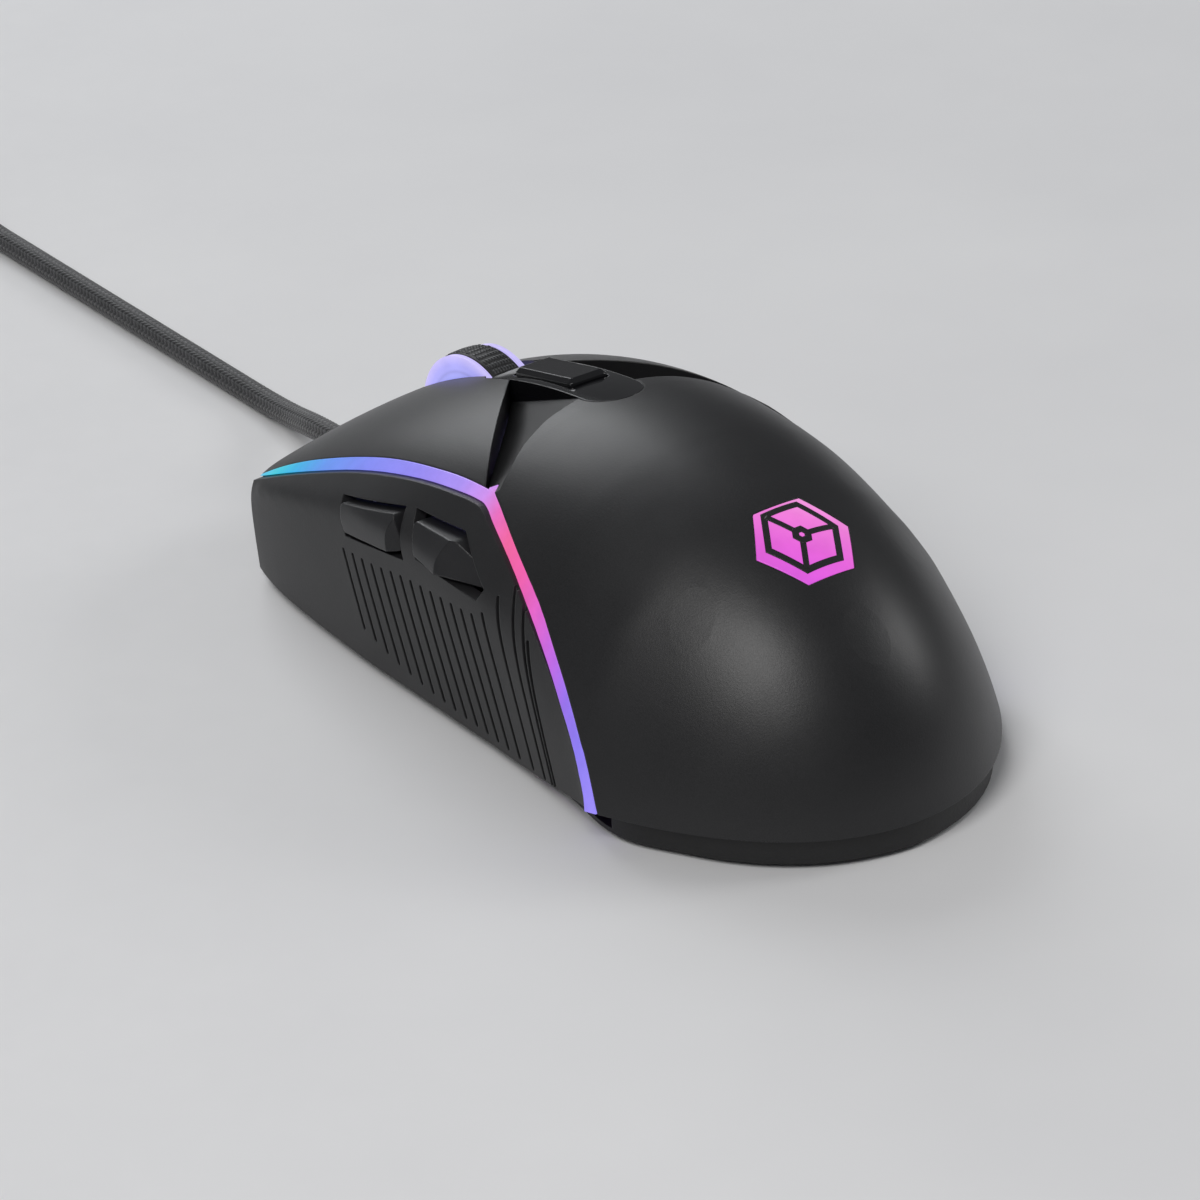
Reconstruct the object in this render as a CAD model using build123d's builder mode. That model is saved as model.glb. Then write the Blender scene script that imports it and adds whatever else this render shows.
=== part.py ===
from build123d import *
import os
import math

# Corded gaming mouse with its internals and USB plug, one STEP file per piece.
# Millimetres, +Z up, +Y to the front (towards the cable), +X to the user's right.
# Origin: desk plane, under the middle of the footprint.
os.makedirs("parts", exist_ok=True)

# ---- driving dimensions -------------------------------------------------------
WALL = 2.0              # moulded shell wall
RIM_Z = 4.6             # lower edge of the palm shell
NOSE_Y = 61.4           # front of the shell on the centre line
NOSE_CURVE = 0.0085     # front edge: y = NOSE_Y - NOSE_CURVE * x^2
NOSE_HALF = 40          # half width over which the front edge is drawn

# crowned upper body
CROWN_H = 41.76         # highest point of the back
CROWN_Y = -8.6          # where the highest point is
REAR_Y = -64.02         # rear end of the swept body, below the desk line
Z_FOOT = -8.0           # level at which the shell sections are based
HALF_W = 35.32          # half width of the swept body at Z_FOOT
WIDEST_Y = -30.85       # where the body is widest
SECTION_POWER = 2.154   # exponent of every cross section
CROWN_REAR_POWERS = (2.0109, 0.3819)
WIDTH_REAR_POWERS = (1.2398, 0.4486)
RAY_Y, RAY_Z = -5, -40  # centre of the rays that sample the body
DEEP_INSET = 4.6        # depth of the facets' lower skin
CREASE_BLEND = 1.0      # softness of the crease along the sides

# base tray and boards
BASE_Z = 0.8            # underside of the base tray (the feet are this thick)
FLOOR = 1.8             # floor thickness of the base tray
FLOOR_TOP = BASE_Z + FLOOR
FLANGE_T = 0.7          # full-width bottom layer of the tray
FLANGE_TOP = BASE_Z + FLANGE_T
PCB_Z = 6.4             # underside of the main board
PCB_T = 1.6
PCB_TOP = PCB_Z + PCB_T
SCREW_POINTS = [(-17.0, -38.0), (17.0, -38.0), (0.0, -52.0)]
PCB_POSTS = [(-18.0, 21.0), (18.0, 21.0), (-18.0, -24.0), (18.0, -24.0)]
SENSOR_POINT = (0, -2.0)

# wheel and its cradle
WHEEL_Y, WHEEL_Z, WHEEL_R = 32.6, 23.6, 12.45
WHEEL_W = 6.3
TYRE_DEPTH = 2.6
CHEEK_T = 0.75          # side discs of the hub
AXLE_R = 1.5
AXLE_CLEAR = 0.05       # running clearance of the axle, on the radius
CRADLE_Y, CRADLE_Z = 10.0, 21.0    # pivot of the wheel cradle
PIVOT_R = 1.2
PIVOT_CLEAR = 0.05
WHEEL_SWITCH_POINT = (0, 47.6)

# buttons and centre strip
SLOT_SPINE = 4.65       # half width between the buttons behind the wheel
SLOT_WHEEL = 4.0        # half width of the wheel slot
BUTTON_RETURN = 1.5     # thickness of the return walls under a main button
PALM_SLOT = 4.62        # half width of the palm shell's slot for the centre strip
SPINE_W = 4.5           # half width of the centre strip
FACET_GAP = 0.28        # gap between a facet and the button behind edge
SWITCH_X, SWITCH_Y = 15.5, 40.0    # main micro switches
PLUNGER_Y = SWITCH_Y + 1.0
DPI_Y = 14.4
DPI_BOARD_Z, DPI_BOARD_T = 32.0, 1.0
DPI_BOARD_TOP = DPI_BOARD_Z + DPI_BOARD_T
BADGE_Y = -39.4
BADGE_R = 7.4
SIDE_BOARD_X = -21.5
SIDE_STEM_X = -25.25    # inner end of the side button stems
SIDE_SWITCHES = {"front": (21.5, 22.6), "rear": (3.2, 25.2)}   # (y, z)

# cable and plug
CABLE_R = 1.9
CABLE_BORE_R = CABLE_R + 0.02
EXIT_Z = 7.6            # cable height at the mouse
CABLE_X, CABLE_Z = 4.8, 1.9        # straight run on the desk
PLUG_Z = 4.4
SHELL_Y = 232.0         # where the metal plug shell starts


# ---- curves and outlines --------------------------------------------------------
def smooth_table(stations, values):
    """Shape-preserving cubic through a table, held constant outside it."""
    count = len(stations)
    step = [stations[i + 1] - stations[i] for i in range(count - 1)]
    slope = [(values[i + 1] - values[i]) / step[i] for i in range(count - 1)]
    tangent = [0.0] * count
    for i in range(1, count - 1):
        if slope[i - 1] * slope[i] > 0:
            before, after = 2 * step[i] + step[i - 1], step[i] + 2 * step[i - 1]
            tangent[i] = (before + after) / (before / slope[i - 1] + after / slope[i])
    tangent[0], tangent[-1] = slope[0], slope[-1]

    def value_at(station):
        if station <= stations[0]:
            return values[0]
        if station >= stations[-1]:
            return values[-1]
        i = 0
        while station > stations[i + 1]:
            i += 1
        part = (station - stations[i]) / step[i]
        square = part * part
        cube = square * part
        return (values[i] * (1 - 3 * square + 2 * cube)
                + step[i] * tangent[i] * (part - 2 * square + cube)
                + values[i + 1] * (3 * square - 2 * cube)
                + step[i] * tangent[i + 1] * (cube - square))
    return value_at


def smooth_line(points, pieces=3):
    """Round a polyline by a curve through its points."""
    length = [0.0]
    for start, end in zip(points, points[1:]):
        length.append(length[-1] + math.hypot(end[0] - start[0], end[1] - start[1]))
    first = smooth_table(length, [p[0] for p in points])
    second = smooth_table(length, [p[1] for p in points])
    rounded = []
    for i in range(len(points) - 1):
        for j in range(pieces):
            along = length[i] + (length[i + 1] - length[i]) * j / pieces
            rounded.append((first(along), second(along)))
    return rounded + [points[-1]]


def shift_line(points, distance):
    """Offset a polyline to the left of its direction."""
    shifted = []
    for i, point in enumerate(points):
        before, after = points[max(0, i - 1)], points[min(len(points) - 1, i + 1)]
        run, rise = after[0] - before[0], after[1] - before[1]
        length = math.hypot(run, rise)
        shifted.append((point[0] - rise / length * distance,
                        point[1] + run / length * distance))
    return shifted


def mirrored(points):
    """Plan points mirrored left to right, in reverse order."""
    return [(-x, y) for x, y in reversed(points)]


def rect(x0, y0, x1, y1):
    """Corner points of a rectangle."""
    return [(x0, y0), (x1, y0), (x1, y1), (x0, y1)]


def nose_points(inset):
    """Plan points of the curved front edge, from left to right."""
    return [(x, NOSE_Y - inset - NOSE_CURVE * x * x)
            for x in range(-NOSE_HALF, NOSE_HALF + 1, 5)]


def facing_front(x, y, z):
    """Plane with its normal along +Y."""
    return Plane(origin=(x, y, z), x_dir=(1, 0, 0), z_dir=(0, 1, 0))


# ---- the crowned upper body -------------------------------------------------------
# every cross section is z = Z_FOOT + h * (1 - |x/w|^SECTION_POWER)^k
shoulder_power = smooth_table([-60, -38, -15, 10, 36, 62],
                              [0.54, 0.63, 0.432, 0.3254, 0.2923, 0.16])


def crown(y):
    """Height of the body on the centre line."""
    if y >= CROWN_Y:
        ahead = y - CROWN_Y
        return CROWN_H - 0.00427 * ahead * ahead / (1 - 0.00301 * ahead)
    back = min(1.0, (CROWN_Y - y) / (CROWN_Y - REAR_Y))
    inner, outer = CROWN_REAR_POWERS
    return Z_FOOT + (CROWN_H - Z_FOOT) * max(0.0, 1 - back ** inner) ** outer


def half_width(y):
    """Half width of the body at Z_FOOT."""
    if y >= WIDEST_Y:
        ahead = min(1.3, (y - WIDEST_Y) / 75.0)
        return HALF_W - 4.6 * ahead * ahead / (0.35 + ahead)
    back = min(1.0, (WIDEST_Y - y) / (WIDEST_Y - REAR_Y))
    inner, outer = WIDTH_REAR_POWERS
    return HALF_W * max(0.0, 1 - back ** inner) ** outer


def dome(x, y):
    """Height of the crowned surface."""
    width = half_width(y)
    if width <= 1e-6:
        return Z_FOOT
    ratio = min(1.0, abs(x) / width)
    return Z_FOOT + (crown(y) - Z_FOOT) * (1 - ratio ** SECTION_POWER) ** shoulder_power(y)


def inside_body(x, y, z):
    if y <= REAR_Y or abs(x) >= half_width(y):
        return False
    return z < Z_FOOT or z < dome(x, y)


def body_grid():
    """Points of the crowned surface, on rays from a point below the desk."""
    rows = []
    for i in range(53):
        pitch = math.radians(-62 + 125 * i / 52)
        row = []
        for j in range(21):
            spread = math.radians(44 * j / 20)
            dx = math.sin(spread)
            dy = math.cos(spread) * math.sin(pitch)
            dz = math.cos(spread) * math.cos(pitch)
            near, far = 5.0, 130.0
            for _ in range(44):
                middle = (near + far) / 2
                if inside_body(dx * middle, RAY_Y + dy * middle, RAY_Z + dz * middle):
                    near = middle
                else:
                    far = middle
            row.append((dx * near, RAY_Y + dy * near, RAY_Z + dz * near))
        rows.append([(-x, y, z) for x, y, z in row[:0:-1]] + row)
    return rows


def inset_grid(grid, depth):
    """Move every point of a grid inwards along the local normal."""
    last_row, last_column = len(grid) - 1, len(grid[0]) - 1
    moved = []
    for i, row in enumerate(grid):
        moved_row = []
        for j, point in enumerate(row):
            along = Vector(grid[min(last_row, i + 1)][j]) - Vector(grid[max(0, i - 1)][j])
            across = Vector(row[min(last_column, j + 1)]) - Vector(row[max(0, j - 1)])
            normal = across.cross(along).normalized()
            moved_row.append(tuple(Vector(point) - normal * depth))
        moved.append(moved_row)
    return moved


def front_edge(inset):
    """Plan region behind the curved front edge."""
    with BuildSketch() as region:
        with BuildLine():
            nose = Spline(*nose_points(inset))
            Polyline(nose @ 1, (NOSE_HALF, -70), (-NOSE_HALF, -70), nose @ 0)
        make_face()
    return region.sketch


def body_solid(nose_inset, skin):
    """Everything under a crowned skin and behind the front edge."""
    with BuildPart() as body:
        with BuildSketch(Plane.XY.offset(-0.5)):
            add(front_edge(nose_inset))
        extrude(amount=60)
        split(bisect_by=skin, keep=Keep.TOP)
    return body.part


GRID = body_grid()
BODY_OUTER = body_solid(0.0, Face.make_surface_from_array_of_points(GRID))
BODY_INNER = body_solid(
    WALL, Face.make_surface_from_array_of_points(inset_grid(GRID, WALL)))
BODY_DEEP = body_solid(
    WALL, Face.make_surface_from_array_of_points(inset_grid(GRID, DEEP_INSET)))


def crown_plane(y):
    """Plane tangent to the crown on the centre line."""
    normal = Vector(0, -(crown(y + 1) - crown(y - 1)) / 2, 1).normalized()
    return Plane(origin=(0, y, crown(y)), x_dir=(1, 0, 0), z_dir=normal)


BADGE_PLANE = crown_plane(BADGE_Y)
DPI_PLANE = crown_plane(DPI_Y)

# ---- the waisted sides --------------------------------------------------------------
# stations along y, then half widths or heights there
# bottom edge
side_bottom = smooth_table(
    [-44, -36, -30, -24, -18, -12, -6, 20, 30, 40, 47, 53, 58, 66],
    [33.6, 32.0, 30.7, 29.6, 28.8, 28.3, 28.05, 28.0, 27.6, 27.0, 26.3, 25.2, 23.8, 21.0])
# soft crease
crease_x = smooth_table(
    [-44, -36, -30, -24, -18, -12, -6, 6, 20, 30, 40, 47, 53, 58, 66],
    [33.9, 32.4, 31.3, 30.4, 29.8, 29.4, 29.3, 29.1, 28.8, 28.4, 27.8, 27.1, 26.2, 25.2, 22.6])
crease_z = smooth_table(
    [-44, -36, -30, -24, -18, -12, -6, 0, 10, 20, 30, 40, 47, 53, 58, 66],
    [2.5, 3.4, 9.0, 15.0, 19.6, 22.6, 24.3, 25.0, 25.2, 24.5, 22.3, 19.6, 17.8, 16.0, 14.3,
     11.5])
# light strip
STRIP_STATIONS = [-44, -37, -34.2, -30.9, -27, -22.5, -16.8, -9.6, -2.4, 3, 11.4, 20.2, 29.3,
                  38.8, 47.8, 56.2, 62]
strip_x = smooth_table(
    STRIP_STATIONS,
    [33.6, 32.5, 32.1, 31.2, 30.1, 29.0, 27.7, 25.7, 23.6, 23.1, 23.3, 23.5, 23.7,
     23.9, 24.3, 24.6, 24.2])
strip_z = smooth_table(
    STRIP_STATIONS,
    [4.6, 4.8, 5.2, 11.4, 15.7, 20.2, 24.8, 29.0, 32.0, 32.5, 31.5, 29.5, 26.7,
     23.1, 19.4, 15.6, 12.8])


def side_x(y, z):
    """Half width of the side wall: two slopes blended at the crease."""
    x_bottom, x_crease, x_strip = side_bottom(y), crease_x(y), strip_x(y)
    z_strip = strip_z(y)
    z_crease = min(crease_z(y), z_strip - 1.2)
    lower = x_bottom + (x_crease - x_bottom) * (z - 1.6) / max(1.5, z_crease - 1.6)
    upper = x_crease + (x_strip - x_crease) * (z - z_crease) / max(1.0, z_strip - z_crease)
    blend = math.sqrt(((lower - upper) / 2) ** 2 + CREASE_BLEND * CREASE_BLEND)
    return (lower + upper) / 2 - blend + CREASE_BLEND * 0.75


# sampled areas of the side wall: (first y, last y, count), (first z, last z, count)
PANEL_AREA = ((-44.0, 66.0, 56), (-3.0, 38.0, 42))
SIDE_BUTTON_AREA = ((-14, 36, 26), (12, 34, 20))


def side_surface(inset, area, bulge=lambda y: 0.0):
    """Left side wall moved inwards by inset and outwards by bulge(y)."""
    (y_first, y_last, y_count), (z_first, z_last, z_count) = area
    rows = []
    for i in range(y_count):
        y = y_first + (y_last - y_first) * i / (y_count - 1)
        row = []
        for j in range(z_count):
            z = z_first + (z_last - z_first) * j / (z_count - 1)
            row.append((-(side_x(y, z) - inset + bulge(y)), y, z))
        rows.append(row)
    return Face.make_surface_from_array_of_points(rows)


# edges of the light strip in side view (y, z)
STRIP_UPPER = smooth_line([
    (-36.4, 2.6), (-35.5, 5.2), (-32.2, 11.7), (-27.8, 16.9), (-23.1, 21.5),
    (-17.5, 26.2), (-10.9, 29.75), (-3.7, 32.95), (-0.6, 34.0)])
STRIP_LOWER = smooth_line([
    # front leg, falling towards the nose
    (64.0, 12.0), (56.2, 15.6), (47.8, 19.4), (38.8, 23.1), (29.3, 26.7), (20.2, 29.5),
    (11.4, 31.5), (5.0, 32.4),
    # elbow
    (2.2, 32.65), (0.2, 32.7), (-1.4, 32.4), (-3.2, 31.7),
    # rear leg
    (-9.6, 29.0), (-16.8, 24.8), (-22.5, 20.2), (-27.0, 15.7), (-30.9, 11.4),
    (-33.6, 6.4), (-34.6, 3.0)])
# inner edge of the strip in plan, as (|x|, y)
strip_inner_x = smooth_table(
    [-2, 0.6, 6.9, 13.3, 22.4, 31.5, 41.2, 50.7, 57, 64],
    [21.55, 21.6, 21.7, 21.9, 22.0, 22.2, 22.4, 22.75, 23.05, 23.3])
STRIP_INNER = [(strip_inner_x(y), y) for y in range(2, 65, 2)]

# the V between the main buttons and the palm shell, left half in plan (x, y)
BUTTON_REAR_EDGE = [(-21.9, 0.95), (-17.0, 6.35), (-13.3, 10.3), (-8.5, 15.5), (-4.65, 20.0)]
CREASE_EDGE = [(-21.9, -1.55), (-18.8, -0.3), (-15.3, 1.4), (-10.6, 2.75), (-4.6, 3.5)]


# ---- solid helpers ---------------------------------------------------------------------
def yz_prism(points, x0, x1):
    """Prism of a side-view outline between two x positions."""
    with BuildPart() as prism:
        with BuildSketch(Plane.YZ.offset(x0)):
            with BuildLine():
                Polyline(*points, close=True)
            make_face()
        extrude(amount=x1 - x0)
    return prism.part


def xy_prism(points, z0, z1):
    """Prism of a plan outline between two heights."""
    with BuildPart() as prism:
        with BuildSketch(Plane.XY.offset(z0)):
            with BuildLine():
                Polyline(*points, close=True)
            make_face()
        extrude(amount=z1 - z0)
    return prism.part


def blocks(centres, size, z, height):
    """Equal upright blocks at several plan points."""
    with BuildPart() as group:
        with BuildSketch(Plane.XY.offset(z)):
            with Locations(*centres):
                Rectangle(*size)
        extrude(amount=height)
    return group.part


def pin(base, centre, radius, length):
    """Round pin standing on a plane."""
    with BuildPart() as peg:
        with BuildSketch(base):
            with Locations(centre):
                Circle(radius)
        extrude(amount=length)
    return peg.part


def bored_box(base, centre, size, height, bore_start, bore_radius, toward=1):
    """Switch body on a plane; toward=-1 builds it against the normal."""
    with BuildPart() as box:
        with BuildSketch(base):
            with Locations(centre):
                Rectangle(*size)
        extrude(amount=toward * height)
        with BuildSketch(base.offset(toward * bore_start)):
            with Locations(centre):
                Circle(bore_radius)
        extrude(amount=toward * 3, mode=Mode.SUBTRACT)
    return box.part


def mirror_part(part):
    """The opposite-hand copy of a piece."""
    with BuildPart() as other:
        add(mirror(part, about=Plane.YZ, mode=Mode.PRIVATE))
    return other.part


def split_by_x(part, surface):
    """Pieces of a part cut by a surface, sorted from left to right."""
    with BuildPart() as blank:
        add(part)
        split(bisect_by=surface, keep=Keep.BOTH)
    return blank.part.solids().sort_by(Axis.X)


# ---- palm shell and badge ------------------------------------------------------------------
def palm_wall():
    """Plain shell behind the light strip."""
    rim = [(y - 0.1, z) for y, z in STRIP_UPPER if z > RIM_Z][1:]
    side = ([(-75.0, RIM_Z), (-36.0, RIM_Z)] + rim
            + [(0.35, 34.3), (0.35, 60.0), (-75.0, 60.0)])
    with BuildPart() as wall:
        add(yz_prism(side, -40, 40))
        add(BODY_OUTER, mode=Mode.INTERSECT)
        add(BODY_INNER, mode=Mode.SUBTRACT)
    return wall.part


def palm_tongue():
    """Centre of the crease, which reaches further forward than the shoulders."""
    half = [(-17.77, 0.2)] + CREASE_EDGE[2:]
    with BuildPart() as tongue:
        add(xy_prism(half + mirrored(half), 30, 50))
        add(BODY_OUTER, mode=Mode.INTERSECT)
        add(BODY_INNER, mode=Mode.SUBTRACT)
    return tongue.part


def crease_cut():
    """Everything of the plain shell in front of the crease, on both sides."""
    with BuildPart() as cut:
        add(xy_prism([(-23.0, 3.0)] + CREASE_EDGE + [(-4.6, 30), (-23.0, 30)], 20, 60))
        mirror(about=Plane.YZ)
    return cut.part


def left_facet():
    """Sloping facet in the V: a plane through the crease, dropping towards the wheel."""
    outer = Vector(-21.0, -1.3, dome(21.0, -1.3))
    inner = Vector(-4.6, 3.5, dome(4.6, 3.5))
    low = Vector(-4.6, 20.0, dome(4.6, 20.0) - 3.3)
    normal = (inner - outer).cross(low - outer).normalized()
    slope = Plane(origin=inner, x_dir=(inner - outer).normalized(), z_dir=normal)
    plan = ([(x, y - 0.8) for x, y in CREASE_EDGE]
            + [(x, y - FACET_GAP) for x, y in reversed(BUTTON_REAR_EDGE)])
    with BuildPart() as facet:
        add(xy_prism(plan, 20, 50))
        add(BODY_OUTER, mode=Mode.INTERSECT)
        add(BODY_DEEP, mode=Mode.SUBTRACT)
        split(bisect_by=slope, keep=Keep.BOTTOM)
    return facet.part


def palm_shell():
    facet = left_facet()
    # room for the light strip under the outer ends of the facets
    strip_room = yz_prism(
        [(-8.0, 20.0), (-8.0, 30.9), (-3.8, 32.95), (-0.7, 34.0), (0.35, 34.3),
         (0.75, 34.3), (0.75, 20.0)], -40, -20.0)
    facet_end = xy_prism(rect(-24.0, 0.5, -21.5, 3.0), 10, 60)
    with BuildPart() as palm:
        add(palm_wall())
        add(palm_tongue())
        add(crease_cut(), mode=Mode.SUBTRACT)
        add(facet)
        mirror(facet, about=Plane.YZ)
        # slot for the centre strip
        with BuildSketch(Plane.XY.offset(20)):
            with BuildLine():
                Polyline(*rect(-PALM_SLOT, 2.4, PALM_SLOT, 30), close=True)
            make_face()
            with Locations((0, 3.0)):
                Circle(PALM_SLOT)
        extrude(amount=40, mode=Mode.SUBTRACT)
        # screw bosses reach down to the base tray
        with BuildSketch(Plane.XY.offset(9.0)):
            with Locations(*SCREW_POINTS):
                Circle(3.0)
        extrude(amount=30)
        add(BODY_OUTER, mode=Mode.INTERSECT)
        with BuildSketch(Plane.XY.offset(8.9)):
            with Locations(*SCREW_POINTS):
                Circle(1.05)
        extrude(amount=9.0, mode=Mode.SUBTRACT)
        # opening for the lit badge
        with BuildSketch(BADGE_PLANE.offset(-6)):
            RegularPolygon(radius=BADGE_R, side_count=6)
        extrude(amount=12, mode=Mode.SUBTRACT)
        for room in (strip_room, facet_end):
            add(room, mode=Mode.SUBTRACT)
            mirror(room, about=Plane.YZ, mode=Mode.SUBTRACT)
    return palm.part


def badge_lens():
    """Hexagonal window flush with the palm shell."""
    with BuildPart() as lens:
        with BuildSketch(BADGE_PLANE.offset(-6)):
            RegularPolygon(radius=BADGE_R - 0.12, side_count=6)
        extrude(amount=12)
        add(BODY_OUTER, mode=Mode.INTERSECT)
        with BuildSketch(BADGE_PLANE.offset(-9)):
            RegularPolygon(radius=BADGE_R + 1, side_count=6)
        extrude(amount=6.6, mode=Mode.SUBTRACT)
    return lens.part


def badge_light_pipe():
    with BuildPart() as pipe:
        with BuildSketch(Plane.XY.offset(10.0)):
            with Locations((0, -29.0)):
                Circle(3.0)
        with BuildSketch(Plane.XY.offset(29.5)):
            with Locations((0, -37.0)):
                Circle(6.2)
        loft()
    return pipe.part


# ---- main buttons and light strips -------------------------------------------------------------
def left_button():
    plan = ([(-21.5, 1.39)] + BUTTON_REAR_EDGE[1:]
            + [(-SLOT_SPINE, 26.2), (-SLOT_WHEEL, 26.8), (-SLOT_WHEEL, 66.0)]
            + [(-(x - 0.10), y) for x, y in reversed(STRIP_INNER)])
    # inside the deeper return walls along the rear edge and beside the wheel slot
    spine_wall = -SLOT_SPINE - BUTTON_RETURN
    wheel_wall = -SLOT_WHEEL - BUTTON_RETURN
    hollow_plan = ([(-40.0, 1.39)]
                   + [(x - 0.35, y + 1.5) for x, y in BUTTON_REAR_EDGE[:-1]]
                   + [(spine_wall, 22.0), (spine_wall, 26.2), (wheel_wall, 27.2),
                      (wheel_wall, 70.0), (-40.0, 70.0)])
    post_foot = 15.25
    post_top = dome(SWITCH_X + 1.6, SWITCH_Y + 2.2) - 0.35
    with BuildPart() as hollow:
        add(xy_prism(hollow_plan, -2, 60))
        add(BODY_INNER, mode=Mode.INTERSECT)
    with BuildPart() as button:
        add(xy_prism(plan, 12.2, 60))
        add(BODY_OUTER, mode=Mode.INTERSECT)
        add(Pos(0, 0, -2.7) * BODY_INNER, mode=Mode.SUBTRACT)
        add(hollow.part, mode=Mode.SUBTRACT)
        # post that presses the switch
        with BuildSketch(Plane.XY.offset(post_foot)):
            with Locations((-SWITCH_X, PLUNGER_Y)):
                Rectangle(3.2, 2.4)
        extrude(amount=post_top - post_foot)
    return button.part


def left_light_guide():
    side = (STRIP_LOWER + [(-36.0, 3.0)] + STRIP_UPPER
            + [(0.62, 34.12), (0.62, 36.0), (64.0, 45.0)])
    button_room = ([(-21.6, 0.62)] + [(-x, y) for x, y in STRIP_INNER]
                   + [(0, 66.0), (0, 0.62)])
    with BuildPart() as strip:
        add(yz_prism(side, -40, 0))
        add(BODY_OUTER, mode=Mode.INTERSECT)
        add(BODY_INNER, mode=Mode.SUBTRACT)
        add(xy_prism(button_room, 0, 60), mode=Mode.SUBTRACT)
        # trim the rear end level with the palm rim
        with BuildSketch(Plane.XY.offset(-5)):
            with Locations((-20, -40)):
                Rectangle(60, 20)
        extrude(amount=5 + RIM_Z, mode=Mode.SUBTRACT)
        add(xy_prism(rect(-20.06, -3.5, 0, 0.8), 20, 60), mode=Mode.SUBTRACT)
    # keep the largest solid only
    with BuildPart() as guide:
        add(strip.part.solids().sort_by(SortBy.VOLUME)[-1])
    return guide.part


# ---- side panels ----------------------------------------------------------------------------------
GROOVE_COUNT = 19
GROOVE_PITCH = 2.47
GROOVE_FIRST_Y = 26.4   # top end of the foremost groove
GROOVE_W = 0.62
GROOVE_DEPTH = 0.55
# heights of the groove ends against the groove number
groove_top = smooth_table([0, 3, 6, 9, 12, 13.6, 15, 16, 17, 18],
                          [17.7, 18.3, 19.5, 20.1, 20.5, 21.2, 25.0, 27.0, 26.0, 21.7])
groove_bottom = smooth_table([0, 3, 6, 9, 12, 15, 18], [6.6, 4.6, 3.6, 3.1, 2.9, 2.8, 3.0])

# side button windows in the left panel, and the buttons in them (y, z)
FRONT_WINDOW = [(28.6, 24.3), (13.3, 28.2), (10.5, 22.1), (25.5, 19.8)]
REAR_WINDOW = [(11.2, 28.7), (-0.2, 29.55), (-7.9, 24.8), (-6.8, 22.9), (7.6, 23.4)]
FRONT_BUTTON = [(27.9, 23.6), (14.1, 27.2), (11.7, 22.7), (25.4, 20.5)]
REAR_BUTTON = [(10.1, 27.7), (-0.1, 28.5), (-7.1, 24.7), (-6.2, 23.5), (7.4, 24.1)]


def panel_skin():
    """Smooth left side wall below the light strip."""
    under_strip = [(y, z) for y, z in shift_line(STRIP_LOWER, 0.22) if z > RIM_Z and y < 63]
    side = ([(66.0, 10.9)] + under_strip
            + [(-34.1, 4.7), (-28, 3.7), (-20, 2.4), (-12, 1.8), (-4, 1.65), (66, 1.65)])
    core = split_by_x(yz_prism(side, -39, -18), side_surface(0.0, PANEL_AREA))[-1]
    wall = split_by_x(core, side_surface(WALL, PANEL_AREA))[0]
    behind_nose = ([(-45, -80), (-45, 40)] + [p for p in nose_points(0.0) if p[0] < 0]
                   + [(0, NOSE_Y), (0, -80)])
    button_room = ([(-21.85, 0.3)] + [(-x - 0.25, y) for x, y in STRIP_INNER]
                   + [(0, 66.0), (0, 0.3)])
    with BuildPart() as skin:
        add(wall)
        add(xy_prism(behind_nose, -5, 60), mode=Mode.INTERSECT)
        # the upper edge is thinned where the main button passes behind it
        add(xy_prism(button_room, 11.9, 60), mode=Mode.SUBTRACT)
    return skin.part


def groove_cut():
    """Slanted grip grooves with rounded ends."""
    with BuildPart() as tool:
        with BuildSketch(Plane.YZ.offset(-39)):
            for i in range(GROOVE_COUNT):
                y_top = GROOVE_FIRST_Y - GROOVE_PITCH * i
                z_top, z_low = groove_top(i), groove_bottom(i)
                rise = z_top - z_low
                y_low = y_top - 6.2 * rise / 17.0
                run = y_top - y_low
                angle = math.degrees(math.atan2(rise, run))
                middle = ((y_top + y_low) / 2, (z_top + z_low) / 2)
                with Locations(Location(middle, angle)):
                    SlotOverall(math.hypot(rise, run), GROOVE_W)
        extrude(amount=21)
        split(bisect_by=side_surface(GROOVE_DEPTH, PANEL_AREA), keep=Keep.BOTH)
    # keep the pieces outside the groove floor
    with BuildPart() as cut:
        add([s for s in tool.part.solids() if s.bounding_box().min.X < -38.9])
    return cut.part


def grooved_panel():
    with BuildPart() as panel:
        add(panel_skin())
        add(groove_cut(), mode=Mode.SUBTRACT)
    return panel.part


def left_side_panel(plain_panel):
    """Grooved panel with the two side button windows."""
    with BuildPart() as panel:
        add(plain_panel)
        with BuildSketch(Plane.YZ.offset(-39)):
            for window in (FRONT_WINDOW, REAR_WINDOW):
                with BuildLine():
                    Polyline(*window, close=True)
                make_face()
        extrude(amount=21, mode=Mode.SUBTRACT)
    return panel.part


# ---- side buttons --------------------------------------------------------------------------------------
def side_button(outline, radii, bulge, switch_point, bevel):
    """Proud cap with a stem to its switch; a radius of 0 leaves the corner sharp."""
    outer = side_surface(0.0, SIDE_BUTTON_AREA, bulge)
    inner = side_surface(2.3, SIDE_BUTTON_AREA)
    with BuildPart() as blank:
        with BuildSketch(Plane.YZ.offset(-38)):
            with BuildLine():
                Polyline(*outline, close=True)
            make_face()
            for (y, z), radius in zip(outline, radii):
                if radius:
                    fillet(vertices().sort_by_distance((y, z, 0))[0], radius=radius)
        extrude(amount=20)
    with BuildPart() as stem:
        with BuildSketch(Plane.YZ.offset(SIDE_STEM_X)):
            with Locations(switch_point):
                RectangleRounded(4.4, 2.2, 0.5)
        extrude(amount=-6.0)
    cap = split_by_x(split_by_x(blank.part, outer)[-1], inner)[0]
    stem_inside = split_by_x(split_by_x(stem.part, outer)[-1], inner)[-1]
    with BuildPart() as whole:
        add(cap)
        add(stem_inside)
    with BuildPart() as button:
        add(whole.part)
        split(bisect_by=bevel, keep=Keep.BOTTOM)
    return button.part


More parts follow.
